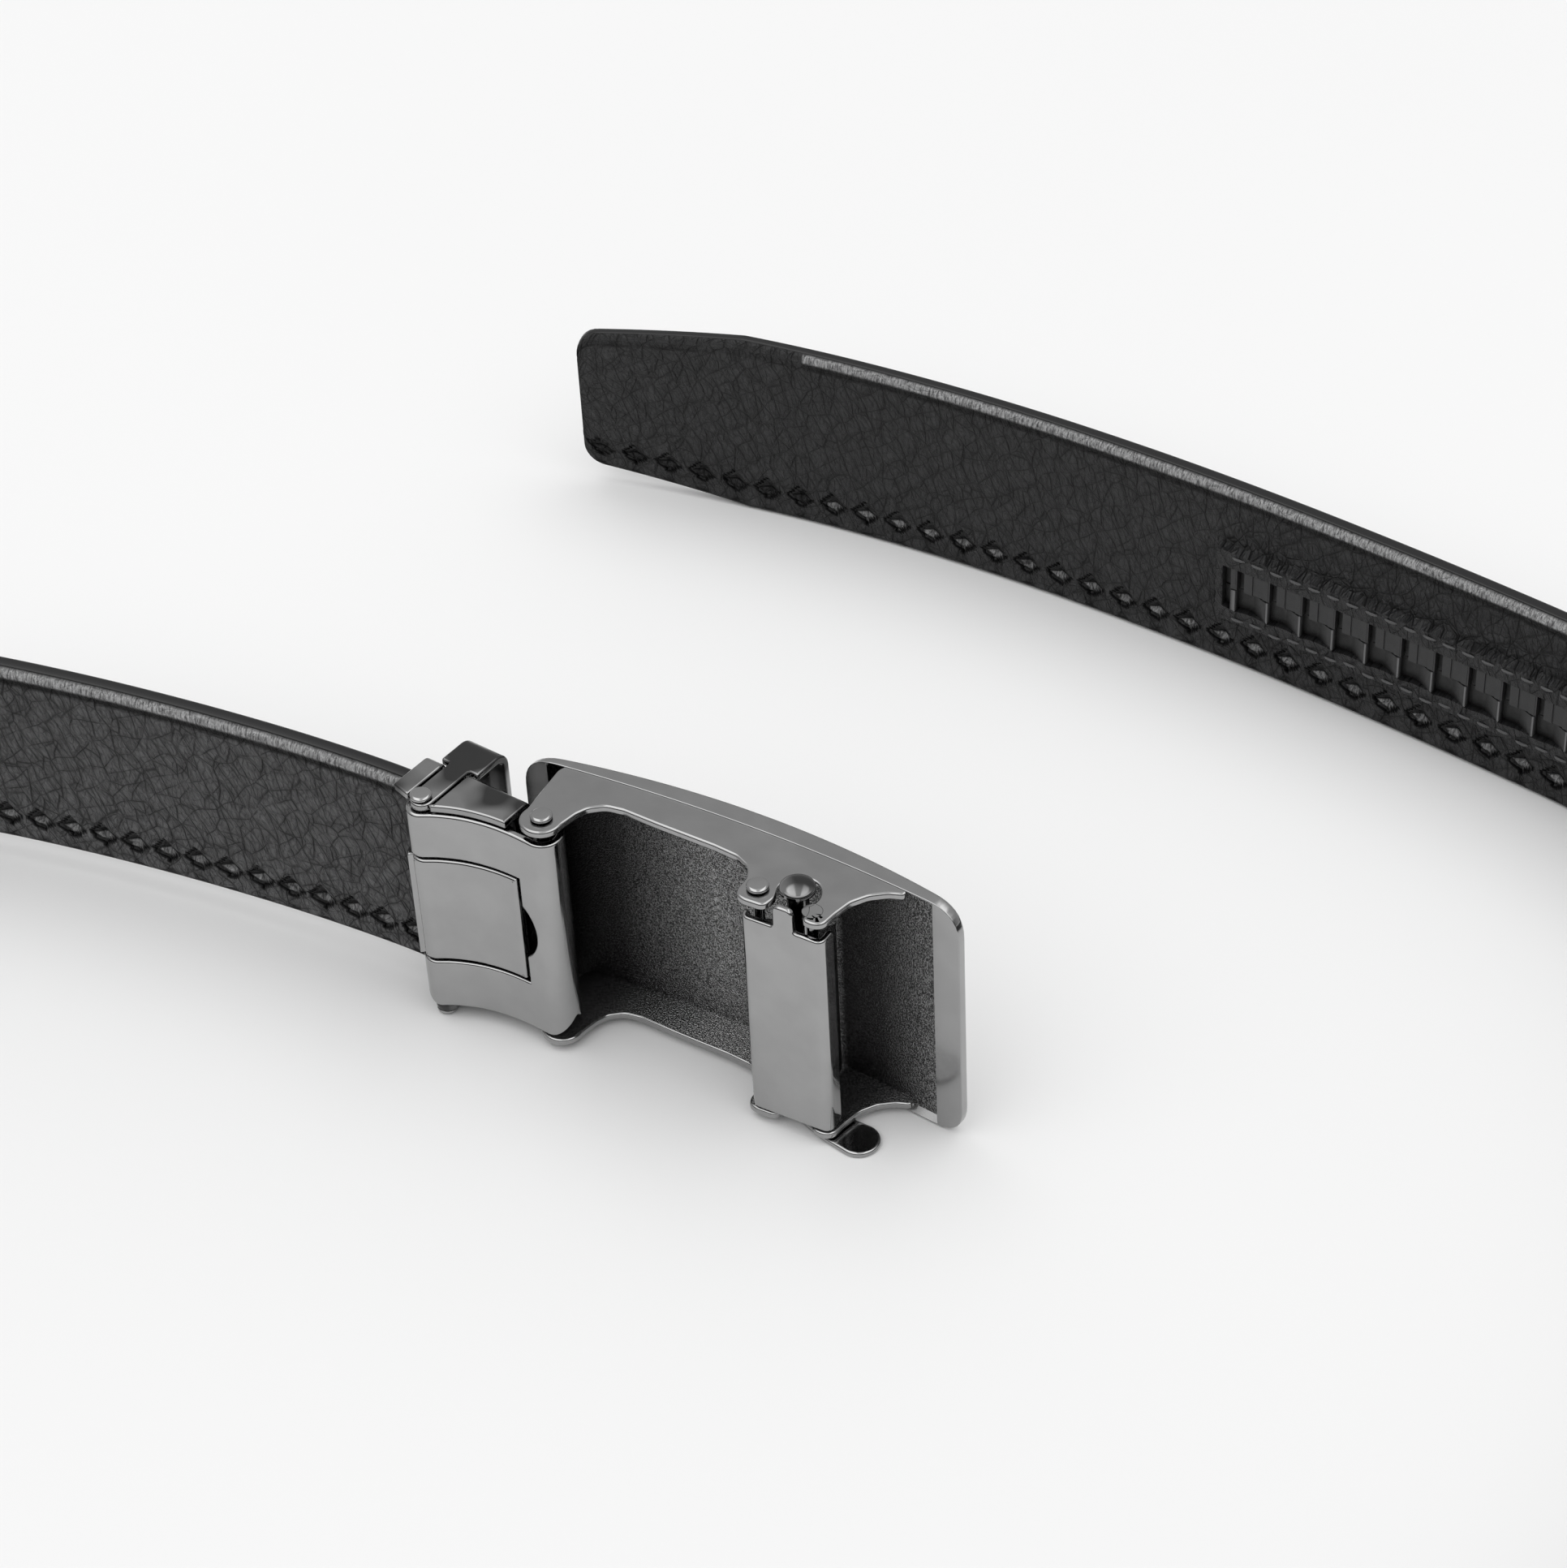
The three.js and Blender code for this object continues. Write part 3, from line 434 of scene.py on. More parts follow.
# Materials
class Graph:
    """Short calls for a node tree."""

    def __init__(self, tree):
        self.tree = tree

    def add(self, kind, inputs=None, **props):
        node = self.tree.nodes.new(kind)
        for key, value in props.items():
            setattr(node, key, value)
        for key, value in (inputs or {}).items():
            if hasattr(value, "is_output"):
                self.tree.links.new(value, node.inputs[key])
            else:
                node.inputs[key].default_value = value
        return node

    def math(self, operation, a, b=0.0):
        return self.add("ShaderNodeMath", {0: a, 1: b}, operation=operation).outputs[0]

    def vector(self, operation, a, b):
        return self.add("ShaderNodeVectorMath", {0: a, 1: b}, operation=operation)

    def layers(self, *pairs):
        """Sum of (height, share) pairs, the first one in full."""
        total = pairs[0][0]
        for height, share in pairs[1:]:
            total = self.math("ADD", total, self.math("MULTIPLY", height, share))
        return total

    def mix(self, factor, a, b):
        node = self.add("ShaderNodeMix", {0: factor}, data_type="RGBA")
        for key, value in ((6, a), (7, b)):
            if hasattr(value, "is_output"):
                self.tree.links.new(value, node.inputs[key])
            else:
                node.inputs[key].default_value = (*value, 1.0)
        return node.outputs[2]

    def ramp(self, value, stops):
        node = self.add("ShaderNodeValToRGB", {0: value})
        ends = node.color_ramp.elements
        while len(ends) < len(stops):
            ends.new(0.5)
        for end, (at, grey) in zip(ends, stops):
            end.position = at
            end.color = (grey, grey, grey, 1.0)
        return node.outputs[0]

    def link(self, output, socket):
        self.tree.links.new(output, socket)


def nodes_of(name):
    """A new material with its graph and shader."""
    mat = bpy.data.materials.new(name)
    mat.use_nodes = True
    tree = mat.node_tree
    return mat, Graph(tree), tree.nodes["Principled BSDF"]


def millimetres(g):
    """Object coordinates in millimetres."""
    coords = g.add("ShaderNodeTexCoord").outputs["Object"]
    node = g.add("ShaderNodeVectorMath", {0: coords}, operation="SCALE")
    node.inputs["Scale"].default_value = 1000.0
    return node.outputs[0]


def noise(g, vector, scale, detail=3.0, rough=0.5):
    node = g.add("ShaderNodeTexNoise", {"Vector": vector, "Scale": scale, "Detail": detail,
                                        "Roughness": rough})
    return node.outputs[0]


def bump(g, bsdf, height, distance, strength=1.0):
    node = g.add("ShaderNodeBump", {"Height": height, "Distance": distance, "Strength": strength})
    g.link(node.outputs[0], bsdf.inputs["Normal"])


def gunmetal(name, low, high, smooth, dull):
    """Dark plating between two greys and two roughnesses, faintly wavy and hazed by handling."""
    mat, g, bsdf = nodes_of(name)
    at = millimetres(g)
    haze = noise(g, at, 0.22, 4.0, 0.6)
    pool = g.ramp(noise(g, at, 0.13, 1.0), [(0.42, low), (0.58, high)])
    tint = g.ramp(haze, [(0.3, 0.94), (0.7, 1.0)])
    g.link(g.vector("MULTIPLY", pool, tint).outputs[0], bsdf.inputs["Base Color"])
    g.link(g.ramp(haze, [(0.3, smooth), (0.7, dull)]), bsdf.inputs["Roughness"])
    bsdf.inputs["Metallic"].default_value = 1.0
    wave = noise(g, at, 0.3, 1.0)
    fine = noise(g, at, 9.0, 2.0)
    bump(g, bsdf, g.layers((wave, 1.0), (fine, 0.02)), 0.00002, 0.5)
    return mat


# Painted shade and dark reflection on the blasted face along the plate: darker behind the clamp and
# behind the bar.
PAINTED_SHADE_ALONG_PLATE = [(0.18, 0.02), (0.28, 0.16), (0.48, 1.0), (0.72, 1.0), (0.745, 0.06), (0.82, 0.16),
         (0.95, 0.8)]


def grained_metal():
    """Cast, blasted inside of the plate, with painted shade behind the clamp and behind the bar."""
    mat, g, bsdf = nodes_of("grained_metal")
    at = millimetres(g)
    coarse = noise(g, at, 4.0, 1.0, 0.5)
    fine = noise(g, at, 7.0, 2.0, 0.6)
    run = g.add("ShaderNodeSeparateXYZ", {0: at}).outputs[0]
    run = g.math("SUBTRACT", run, float(ORIGIN[0] / MM))
    # painted shade along the plate, from the table above
    painted_shade_along = g.ramp(g.math("DIVIDE", run, PLATE_R), PAINTED_SHADE_ALONG_PLATE)
    grain = g.ramp(coarse, [(0.38, 0.1), (0.62, 0.62)])
    g.link(g.vector("MULTIPLY", grain, painted_shade_along).outputs[0], bsdf.inputs["Base Color"])
    g.link(g.ramp(fine, [(0.3, 0.14), (0.7, 0.22)]), bsdf.inputs["Roughness"])
    bsdf.inputs["Metallic"].default_value = 1.0
    bump(g, bsdf, g.layers((coarse, 1.0), (fine, 0.6)), 0.0003, 0.9)
    return mat


def cells(g, vector, turn, size):
    """Coordinates in cells of the given size in millimetres, turned by degrees."""
    node = g.add("ShaderNodeMapping", {"Vector": vector, "Rotation": (0, 0, math.radians(turn)),
                                       "Scale": (*size, 1.0)}, vector_type="TEXTURE")
    return node.outputs[0]


def creases(g, vector, turn, size, line, soft):
    """Net of creases between cells of the given size in millimetres."""
    at = cells(g, vector, turn, size)
    net = g.add("ShaderNodeTexVoronoi", {"Vector": at, "Scale": 1.0, "Randomness": 0.85},
                feature="DISTANCE_TO_EDGE", voronoi_dimensions="2D").outputs["Distance"]
    return g.ramp(net, [(0.0, 0.0), (line, 0.7), (soft, 1.0)])


def weaken(g, net, share):
    """A net of creases with their depth reduced to a share."""
    return g.math("SUBTRACT", 1.0, g.math("MULTIPLY", g.math("SUBTRACT", 1.0, net), share))


def leather():
    """Black pebbled leather, creased across the strap.

    The attribute flat holds length and height on it, zones holds painted shade, the mask of the
    folded edge's ruffles and painted highlight, and smoothness.
    """
    mat, g, bsdf = nodes_of("leather")
    flat = g.add("ShaderNodeAttribute", attribute_name="flat").outputs["Vector"]
    zones = g.add("ShaderNodeAttribute", attribute_name="zones").outputs["Vector"]
    painted_shade, highlight_and_ruffle, smooth = g.add("ShaderNodeSeparateXYZ", {0: zones}).outputs
    warp = g.add("ShaderNodeTexNoise", {"Vector": flat, "Scale": 0.16, "Detail": 1.5})
    shift = g.vector("SUBTRACT", warp.outputs["Color"], (0.5, 0.5, 0.5)).outputs[0]
    shift = g.vector("MULTIPLY", shift, (2.2, 2.2, 0.0)).outputs[0]
    warped = g.vector("ADD", flat, shift).outputs[0]
    long_net = creases(g, warped, -24, (2.4, 6.5), 0.05, 0.42)
    cross_net = creases(g, warped, 55, (3.0, 6.0), 0.04, 0.3)
    small_net = creases(g, warped, -10, (1.0, 1.7), 0.1, 0.45)
    streaks = noise(g, cells(g, warped, -24, (0.5, 2.6)), 1.0, 4.0, 0.65)
    patches = g.ramp(noise(g, flat, 0.16, 2.0), [(0.35, 0.5), (0.6, 1.0)])
    faded = g.ramp(noise(g, flat, 0.28, 2.0), [(0.4, 0.35), (0.6, 1.0)])
    pores = noise(g, flat, 3.2, 3.0, 0.6)
    height = g.layers((g.math("MULTIPLY", long_net, patches), 1.0),
                      (g.math("MULTIPLY", cross_net, faded), 0.9),
                      (small_net, 0.3), (streaks, 0.85), (pores, 0.25))
    height = g.math("MULTIPLY", height, g.math("SUBTRACT", 1.0, smooth))
    ruffle = noise(g, cells(g, flat, 0, (0.32, 1.4)), 1.0, 3.0, 0.65)
    height = g.layers((height, 1.0), (g.math("MULTIPLY", ruffle, highlight_and_ruffle), 1.1))
    # Painted shade in the creases: the colour darkens along the crease nets and streaks.
    net = g.math("MULTIPLY", weaken(g, long_net, patches), weaken(g, cross_net, faded))
    net = g.math("MULTIPLY", net, weaken(g, small_net, 0.35))
    net = g.math("MULTIPLY", net, g.ramp(streaks, [(0.38, 0.4), (0.6, 1.0)]))
    run = g.add("ShaderNodeSeparateXYZ", {0: flat}).outputs[0]
    # Painted light: the leather's colour is lighter towards the buckle, where the strap faces the
    # light more.
    painted_light_near_buckle = g.ramp(g.math("MULTIPLY", run, 1 / STRAP_LEN), [(0.1, 1.0), (0.75, 0.0)])
    cell = g.mix(painted_light_near_buckle, (0.046, 0.046, 0.047), (0.16, 0.16, 0.162))
    painted_crease_shade = g.mix(painted_light_near_buckle, (0.008, 0.008, 0.008), (0.026, 0.026, 0.026))
    colour = g.mix(net, painted_crease_shade, cell)
    colour = g.mix(smooth, colour, (0.008, 0.008, 0.0085))
    # Painted highlight, ruffled, on the folded edge and on the seam pits' lower facets.
    painted_highlight = g.math("MULTIPLY", highlight_and_ruffle, g.ramp(ruffle, [(0.35, 0.15), (0.6, 1.0)]))
    colour = g.mix(painted_highlight, colour, (0.6, 0.6, 0.603))
    # Painted shade: the zones' first value darkens the colour to near black.
    colour = g.mix(painted_shade, colour, (0.003, 0.003, 0.003))
    g.link(colour, bsdf.inputs["Base Color"])
    rough = g.ramp(net, [(0.0, 0.6), (0.6, 0.46)])
    g.link(g.mix(smooth, rough, (0.26, 0.26, 0.26)), bsdf.inputs["Roughness"])
    bsdf.inputs["Specular IOR Level"].default_value = 0.36
    bump(g, bsdf, height, 0.0012, 1.0)
    return mat


def plastic():
    """Black moulded plastic of the tooth strip, with painted shade in its slots and a painted
    highlight on the teeth's upright edges.
    """
    mat, g, bsdf = nodes_of("tooth_plastic")
    at = millimetres(g)
    zones = g.add("ShaderNodeAttribute", attribute_name="zones").outputs["Vector"]
    painted_shade, lit, _ = g.add("ShaderNodeSeparateXYZ", {0: zones}).outputs
    cloud = noise(g, at, 0.8, 3.0)
    colour = g.mix(cloud, (0.012, 0.012, 0.0125), (0.024, 0.024, 0.0245))
    # Painted highlight on each lower tooth's upright edge.
    colour = g.mix(lit, colour, (0.13, 0.13, 0.132))
    # painted shade in the slots
    g.link(g.mix(painted_shade, colour, (0.002, 0.002, 0.002)), bsdf.inputs["Base Color"])
    g.link(g.ramp(cloud, [(0.3, 0.4), (0.7, 0.55)]), bsdf.inputs["Roughness"])
    bump(g, bsdf, noise(g, at, 5.0, 3.0), 0.00004, 0.8)
    return mat


def thread():
    """Waxed black thread."""
    mat, g, bsdf = nodes_of("thread")
    at = millimetres(g)
    twist = g.add("ShaderNodeTexWave", {"Vector": at, "Scale": 2.2, "Distortion": 1.5})
    # Painted highlight on the twist's ridges and painted shade in its grooves.
    g.link(g.mix(twist.outputs[0], (0.03, 0.03, 0.03), (0.17, 0.17, 0.172)),
           bsdf.inputs["Base Color"])
    g.link(g.ramp(noise(g, at, 2.0), [(0.3, 0.35), (0.7, 0.55)]), bsdf.inputs["Roughness"])
    bump(g, bsdf, twist.outputs[0], 0.00008, 0.7)
    return mat


GUNMETAL = gunmetal("gunmetal", 0.365, 0.38, 0.07, 0.12)
PLATED = gunmetal("plate_metal", 0.35, 0.37, 0.13, 0.19)
# Painted dark reflections: strong dark patches in the metal of the channel, keeper and rod.
PAINTED_REFLECTION_METAL = gunmetal("painted_reflection_metal", 0.07, 0.32, 0.06, 0.12)
GRAINED = grained_metal()
LEATHER = leather()
PLASTIC = plastic()
THREAD = thread()


def finish_metal(obj, body, *nodes, metal=GUNMETAL):
    obj.data.materials.append(metal)
    obj.data.materials.append(GRAINED)
    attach(obj, body)
    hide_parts(*nodes)


# Clamp
class Profile:
    """Plan line by its length, with the side that the sheet's thickness goes to."""

    def __init__(self, points, side=1.0):
        self.points = np.asarray(points, float)
        steps = np.linalg.norm(np.diff(self.points, axis=0), axis=1)
        self.length = np.concatenate([[0], np.cumsum(steps)])
        way = np.gradient(self.points, axis=0)
        way /= np.linalg.norm(way, axis=1)[:, None]
        self.normal = side * np.stack([-way[:, 1], way[:, 0]], 1)

    def at(self, u):
        return np.stack([np.interp(u, self.length, self.points[:, k]) for k in (0, 1)], 1)

    def normal_at(self, u):
        n = np.stack([np.interp(u, self.length, self.normal[:, k]) for k in (0, 1)], 1)
        return n / np.linalg.norm(n, axis=1)[:, None]

    def where_x(self, x):
        """Length at which the line first reaches x after its leftmost point."""
        start = int(np.argmin(self.points[:, 0]))
        return float(np.interp(x, self.points[start:, 0], self.length[start:]))


SWELL = [(2.64, -0.32), (5, 1.15), (8.4, 2.6), (12.2, 3.5), (16, 3.85)]


def cover_line():
    """Outer face of the cover: left bend, swell, and the knuckle round the hinge pin."""
    bend = arc(PIN, BEND_R, 180, 292, 24)
    swell = spline([tuple(bend[-1]), *SWELL[1:], (HINGE[0], HINGE[1] - KNUCKLE_R)], 14)[1:-1]
    knuckle = arc(HINGE, KNUCKLE_R, 270, 480, 44)
    return Profile(np.vstack([bend, swell, knuckle]))


COVER = cover_line()


def swept(line, thickness, level=False):
    """Both faces of a sheet along a line: u runs on a plan line and v is height.

    A level one has x as u, and v runs on a line of (depth, height).
    """
    def face(offset):
        def at(u, v):
            run, free = (v, u) if level else (u, v)
            p = line.at(run) + line.normal_at(run) * offset
            return np.stack([free, p[:, 0], p[:, 1]] if level else [p[:, 0], p[:, 1], free], 1)

        return at

    return face(0.0), face(thickness)


def make_cover():
    front, back = swept(COVER, SHEET)
    total = COVER.length[-1]
    left, right = PIN[0] - BEND_R, HINGE[0] + KNUCKLE_R
    us = np.linspace(0, total, 160)
    xs = COVER.at(us)[:, 0]
    reach = np.maximum(0, np.maximum(left + COVER_CORNER - xs, xs - (right - COVER_CORNER)))
    floor = CLAMP_BOT + COVER_CORNER - np.sqrt(np.maximum(0, COVER_CORNER ** 2 - reach ** 2))
    floor = np.minimum(floor, CLAMP_BOT + COVER_CORNER * 0.95)
    u1 = COVER.where_x(WINDOW_R)
    half = math.sqrt(NOTCH_R ** 2 - (NOTCH_R - NOTCH_DEEP) ** 2)
    swing = math.degrees(math.asin(half / NOTCH_R))
    notch = arc((WINDOW_R + NOTCH_DEEP - NOTCH_R, MID), NOTCH_R, -swing, swing, 20)
    notch = np.stack([u1 + notch[:, 0] - WINDOW_R, notch[:, 1]], 1)
    outline = np.vstack([
        np.stack([us, floor], 1),
        [(total, COVER_TOP), (0, COVER_TOP), (0, MID + WINDOW_HALF), (u1, MID + WINDOW_HALF)],
        notch[::-1],
        [(u1, MID - WINDOW_HALF), (0, MID - WINDOW_HALF)],
    ])
    body = sheet([outline], front, back, 0.42, 0.25, np.arange(0.2, total, 0.4),
                 np.arange(CLAMP_BOT, COVER_TOP, 1.7))
    finish_metal(join("cover", [(*body, 0)]), "belt", "clamp_cover")


def make_flap():
    start, stop = COVER.where_x(WINDOW_L), COVER.where_x(FLAP_R)
    low, high = MID - WINDOW_HALF + FLAP_GAP, MID + WINDOW_HALF - FLAP_GAP
    outline = fillet([(start, low), (stop, low), (stop, high), (start, high)], 0.35)
    front, back = swept(COVER, SHEET)
    face = sheet([outline], front, back, 0.5, 0.2, np.arange(0.2, stop, 0.4),
                 np.arange(low, high, 1.7))
    cam = np.vstack([arc(PIN, CAM_R, 40, 232, 40), arc(PIN, 1.3, 240, 30, 16)])
    inner = np.array([(6.0, 3.0), (4.4, 3.6)])
    web = np.vstack([inner, arc(PIN, CAM_R - 0.3, 40, 150, 12), arc(PIN, 1.3, 235, 330, 8)])
    pieces = [(*face, 0), (*slab(cam, low + 0.02, high - 0.02, 0.25), 0)]
    pieces.append((*slab(web, low + 0.3, high - 0.3, 0.15), 0))
    finish_metal(join("flap", pieces), "flap", "clamp_flap")


def folded(points, bend):
    """Profile line in (depth, height) with every corner bent to an arc."""
    p = np.asarray(points, float)
    out = [p[0]]
    for a, b, c in zip(p[:-2], p[1:-1], p[2:]):
        ua, uc = (a - b) / np.linalg.norm(a - b), (c - b) / np.linalg.norm(c - b)
        centre = b + (ua + uc) * bend
        start = b + ua * bend - centre
        stop = b + uc * bend - centre
        for t in np.linspace(0, math.pi / 2, 10):
            out.append(centre + start * math.cos(t) + stop * math.sin(t))
    out.append(p[-1])
    return np.array(out)


def make_channel():
    """Folded wall and flanges: u is x, and v runs down from the upper flange's front edge."""
    lead = 2.0
    line = Profile(folded([(-lead, CLAMP_TOP), (WALL_FAR, CLAMP_TOP), (WALL_FAR, CLAMP_BOT),
                           (-lead, CLAMP_BOT)], WALL_BEND), side=-1.0)
    front, back = swept(line, SHEET, level=True)
    total = line.length[-1]

    def top(y):
        return y + lead

    slot_r = KEEPER_X + NECK_W / 2 + SLOT_GAP
    slot_l = KEEPER_X - NECK_W / 2 - SLOT_GAP
    us = np.linspace(COVER.where_x(4.4), COVER.where_x(CLAMP_R - 0.35), 30)
    lip = COVER.at(us) + COVER.normal_at(us) * 0.45
    seat = COVER.at(us) + COVER.normal_at(us) * (SHEET + GAP)
    wall = top(WALL_FAR) + 0.7
    outline = [(CLAMP_L, top(PIN[1] + 0.2)), (slot_l, top(PIN[1] - 0.6)), (slot_l, wall),
               (slot_r, wall), (slot_r, top(lip[0][1] - 0.25))]
    outline += [(x, top(y)) for x, y in lip]
    outline += [(CLAMP_R, top(lip[-1][1] + 0.05))]
    outline += [(CLAMP_R, total - top(seat[-1][1]))]
    outline += [(x, total - top(y)) for x, y in seat[::-1]]
    outline += [(CLAMP_L + 0.6, total - top(WALL_Y - 3)), (CLAMP_L, total - top(WALL_FAR) + 0.6)]
    soft = [0.5, 0.5, 0.3, 0.3, 0.45] + [0.3] * (len(outline) - 5)
    outline = fillet(outline, soft)
    bend = np.arange(top(WALL_FAR) - WALL_BEND - 0.6, top(WALL_FAR) + 0.6, 0.2)
    body = sheet([outline], front, back, 0.33, 0.2, np.arange(CLAMP_L, CLAMP_R, 1.3),
                 np.concatenate([bend, np.arange(2, total, 2.1)]))
    finish_metal(join("clamp_body", [(*body, 0)]), "belt", "clamp_channel", metal=PAINTED_REFLECTION_METAL)


def make_keeper():
    low = CLAMP_BOT - 2 * GAP - SHEET
    lead = 4.0
    line = Profile(folded([(-lead, CLAMP_TOP), (KEEPER_FAR, CLAMP_TOP), (KEEPER_FAR, low),
                           (-lead, low)], KEEPER_BEND), side=-1.0)
    front, back = swept(line, SHEET, level=True)
    total = line.length[-1]
    half, wide = NECK_W / 2, KEEPER_W / 2
    step = KEEPER_STEP + lead
    tip = PIN[1] + 0.1 + lead
    x = KEEPER_X
    end = [(x + half * math.cos(a), tip + half * math.sin(a))
           for a in np.linspace(math.pi, 2 * math.pi, 14)]
    near = [(x - wide, step), (x - half, step), *end, (x + half, step), (x + wide, step)]
    far = [(u, total - v) for u, v in near[::-1]]
    soft = [0.4, 0.25] + [0.2] * 14 + [0.25, 0.4]
    outline = fillet(near + far, soft + soft)
    bend = np.arange(KEEPER_FAR + lead - KEEPER_BEND, KEEPER_FAR + lead + 1.6, 0.3)
    lines = np.concatenate([bend, np.arange(5, total, 2.1), total - bend])
    body = sheet([outline], front, back, 0.35, 0.3, np.arange(x - wide, x + wide, 1.1), lines)
    finish_metal(join("keeper", [(*body, 0)]), "belt", "keeper_loop", metal=PAINTED_REFLECTION_METAL)


def rivet(at, shank, z0, z1):
    """Pin with a bevelled head at each end."""
    top = HEAD_R * 0.82
    profile = rounded_profile([(0, z0), (top, z0), (HEAD_R, z0 + HEAD_H * 0.4),
                               (HEAD_R, z0 + HEAD_H), (shank, z0 + HEAD_H), (shank, z1 - HEAD_H),
                               (HEAD_R, z1 - HEAD_H), (HEAD_R, z1 - HEAD_H * 0.35), (top, z1),
                               (0, z1 + 0.02)], 0.14)
    return lathe(at, profile)


def make_rivets():
    low, high = CLAMP_BOT - 3 * GAP - SHEET - HEAD_H, CLAMP_TOP + GAP + HEAD_H
    finish_metal(join("clamp_rivet", [(*rivet(PIN, PIN_R, low, high), 0)]), "belt", "clamp_pin")
    low, high = FLANGE_BOT - GAP - HEAD_H, FLANGE_TOP + GAP + HEAD_H
    finish_metal(join("hinge_rivet", [(*rivet(HINGE, PIN_R, low, high), 0)]), "plate", "hinge_pin")
    bar_pin = rivet(BAR_PIN, BAR_PIN_R, low, high)
    finish_metal(join("bar_rivet", [(*bar_pin, 0)]), "plate", "bar_pin")


# Plate
INNER = ((PLATE_L - 1, 16.1), (45.2, 24.2), (PLATE_R + 1, 22.4))
OUTER = ((PLATE_L - 1, 17.2), (45.2, 29.6), (PLATE_R + 1, 24.0))


def depth_on(curve, x):
    line = bezier(*curve, np.linspace(0, 1, 200))
    return np.interp(x, line[:, 0], line[:, 1])


def recessed(x, z):
    """Inner face of the plate, cut back between the flanges."""
    share = np.clip((x - RECESS_L) / WALL_RUN, 0, 1) * np.clip((RECESS_R - x) / WALL_RUN, 0, 1)
    share = share * np.clip((FLANGE_TOP - z) / WALL_RUN, 0, 1)
    share = share * np.clip((z - FLANGE_BOT) / WALL_RUN, 0, 1)
    return depth_on(INNER, x) + RECESS * share


def flange_outline():
    rear_x = np.linspace(73.0, 16.0, 24)
    rear = np.stack([rear_x, depth_on(INNER, rear_x) + 1.1], 1)
    scoop = [(23.95, 10.6), (24.6, 12.4), (26.3, 14.1), (29, 14.8), (35, 15.1), (44.5, 15.8),
             (48.6, 15.8), (51.4, 14.8), (52.7, 12.8), (52.9, 10.4), (53.6, 9.1), (55, 8.85),
             (58.3, 9.3), (58.6, 11.6)]
    lug = [(64.1, 11.6), (64.3, 9.9), (66.2, 9.9), (67.5, 10.9), (67.6, 13.6), (68, 16.8),
           (69.3, 19.3), (71.2, 21.1), (73.4, 22.2)]
    ear = arc(HINGE, EAR_R, 168, 372, 22)
    notch = arc(ROD + (0.2, 0), 3.1, 215, -35, 24)
    return fillet(np.vstack([ear, scoop, notch, lug, rear, [(15.4, 16.9)]]), 2.5)


def circle(centre, radius, count=28):
    return arc(centre, radius, 0, 360, count)[:-1]


def make_plate():
    outline = fillet([(PLATE_L, PLATE_BOT), (PLATE_R, PLATE_BOT), (PLATE_R, PLATE_TOP),
                      (PLATE_L, PLATE_TOP)], PLATE_CORNER * 1.15)

    def front(u, v):
        return np.stack([u, depth_on(OUTER, u), v], 1)

    def back(u, v):
        return np.stack([u, recessed(u, v), v], 1)

    walls = [RECESS_L, RECESS_L + WALL_RUN, RECESS_R - WALL_RUN, RECESS_R]
    us = np.concatenate([np.arange(PLATE_L, PLATE_R, 0.8), walls])
    vs = np.concatenate([np.arange(PLATE_BOT, PLATE_TOP, 2.0),
                         [FLANGE_TOP - WALL_RUN, FLANGE_BOT + WALL_RUN]])
    verts, faces = sheet([outline], front, back, 0.62, 0.14, np.sort(us), np.sort(vs), 0.4, 6)
    centres = np.array([verts[list(f)].mean(0) for f in faces])
    inner = (centres[:, 0] < RECESS_R) & (centres[:, 0] > RECESS_L)
    inner &= (centres[:, 2] > FLANGE_BOT) & (centres[:, 2] < FLANGE_TOP)
    inner &= centres[:, 1] < depth_on(INNER, centres[:, 0]) + RECESS * 1.2
    pieces = [(verts, faces, inner.astype(int))]
    holes = [circle(HINGE, 1.2), circle(BAR_PIN, 1.05), circle(STOP_PIN, 1.1)]
    for base in (FLANGE_BOT, FLANGE_TOP - SHEET):
        v, f = slab(flange_outline(), base, base + SHEET, 0.36, holes)
        middle = np.array([v[list(face)].mean(0) for face in f])
        inward = base + SHEET if base == FLANGE_BOT else base
        pieces.append((v, f, (np.abs(middle[:, 2] - inward) < 0.01).astype(int)))
    finish_metal(join("face_plate", pieces), "plate", "buckle_plate", metal=PLATED)


def on_bar(points):
    c, s = math.cos(BAR_TURN), math.sin(BAR_TURN)
    p = np.asarray(points, float)
    return np.stack([BAR_AT[0] + p[:, 0] * c - p[:, 1] * s,
                     BAR_AT[1] + p[:, 0] * s + p[:, 1] * c], 1)


def make_bar():
    z0, z1 = FLANGE_BOT + SHEET + GAP, FLANGE_TOP - SHEET - 2.2
    r = BAR_CORNER
    section = np.vstack([[(0, r + 0.5)], arc((r, r), r, 180, 270, 12),
                         arc((BAR_LEN - r, r), r, 270, 360, 12), [(BAR_LEN, BAR_DEPTH)]])
    line = Profile(on_bar(section))
    front, back = swept(line, BAR_SHEET)
    total = line.length[-1]
    skip = r + 0.3
    lug_l, lug_r = skip + LUG_L, skip + LUG_R
    outline = [(0, z0), (total, z0), (total, z1 - 0.2), (lug_r + 0.1, z1), (lug_r, z1 + LUG_UP),
               (lug_l, z1 + LUG_UP), (lug_l - 0.1, z1), (0, z1)]
    soft = [0.5, 0.5, 0.8, 0.5, 1.1, 1.1, 0.5, 0.6]
    body = sheet([fillet(outline, soft)], front, back, 0.36, 0.2, np.arange(0.1, total, 0.28),
                 np.arange(z0, z1 + 2, 2.3))
    finish_metal(join("cross_bar", [(*body, 0)]), "plate", "bridge_bar")


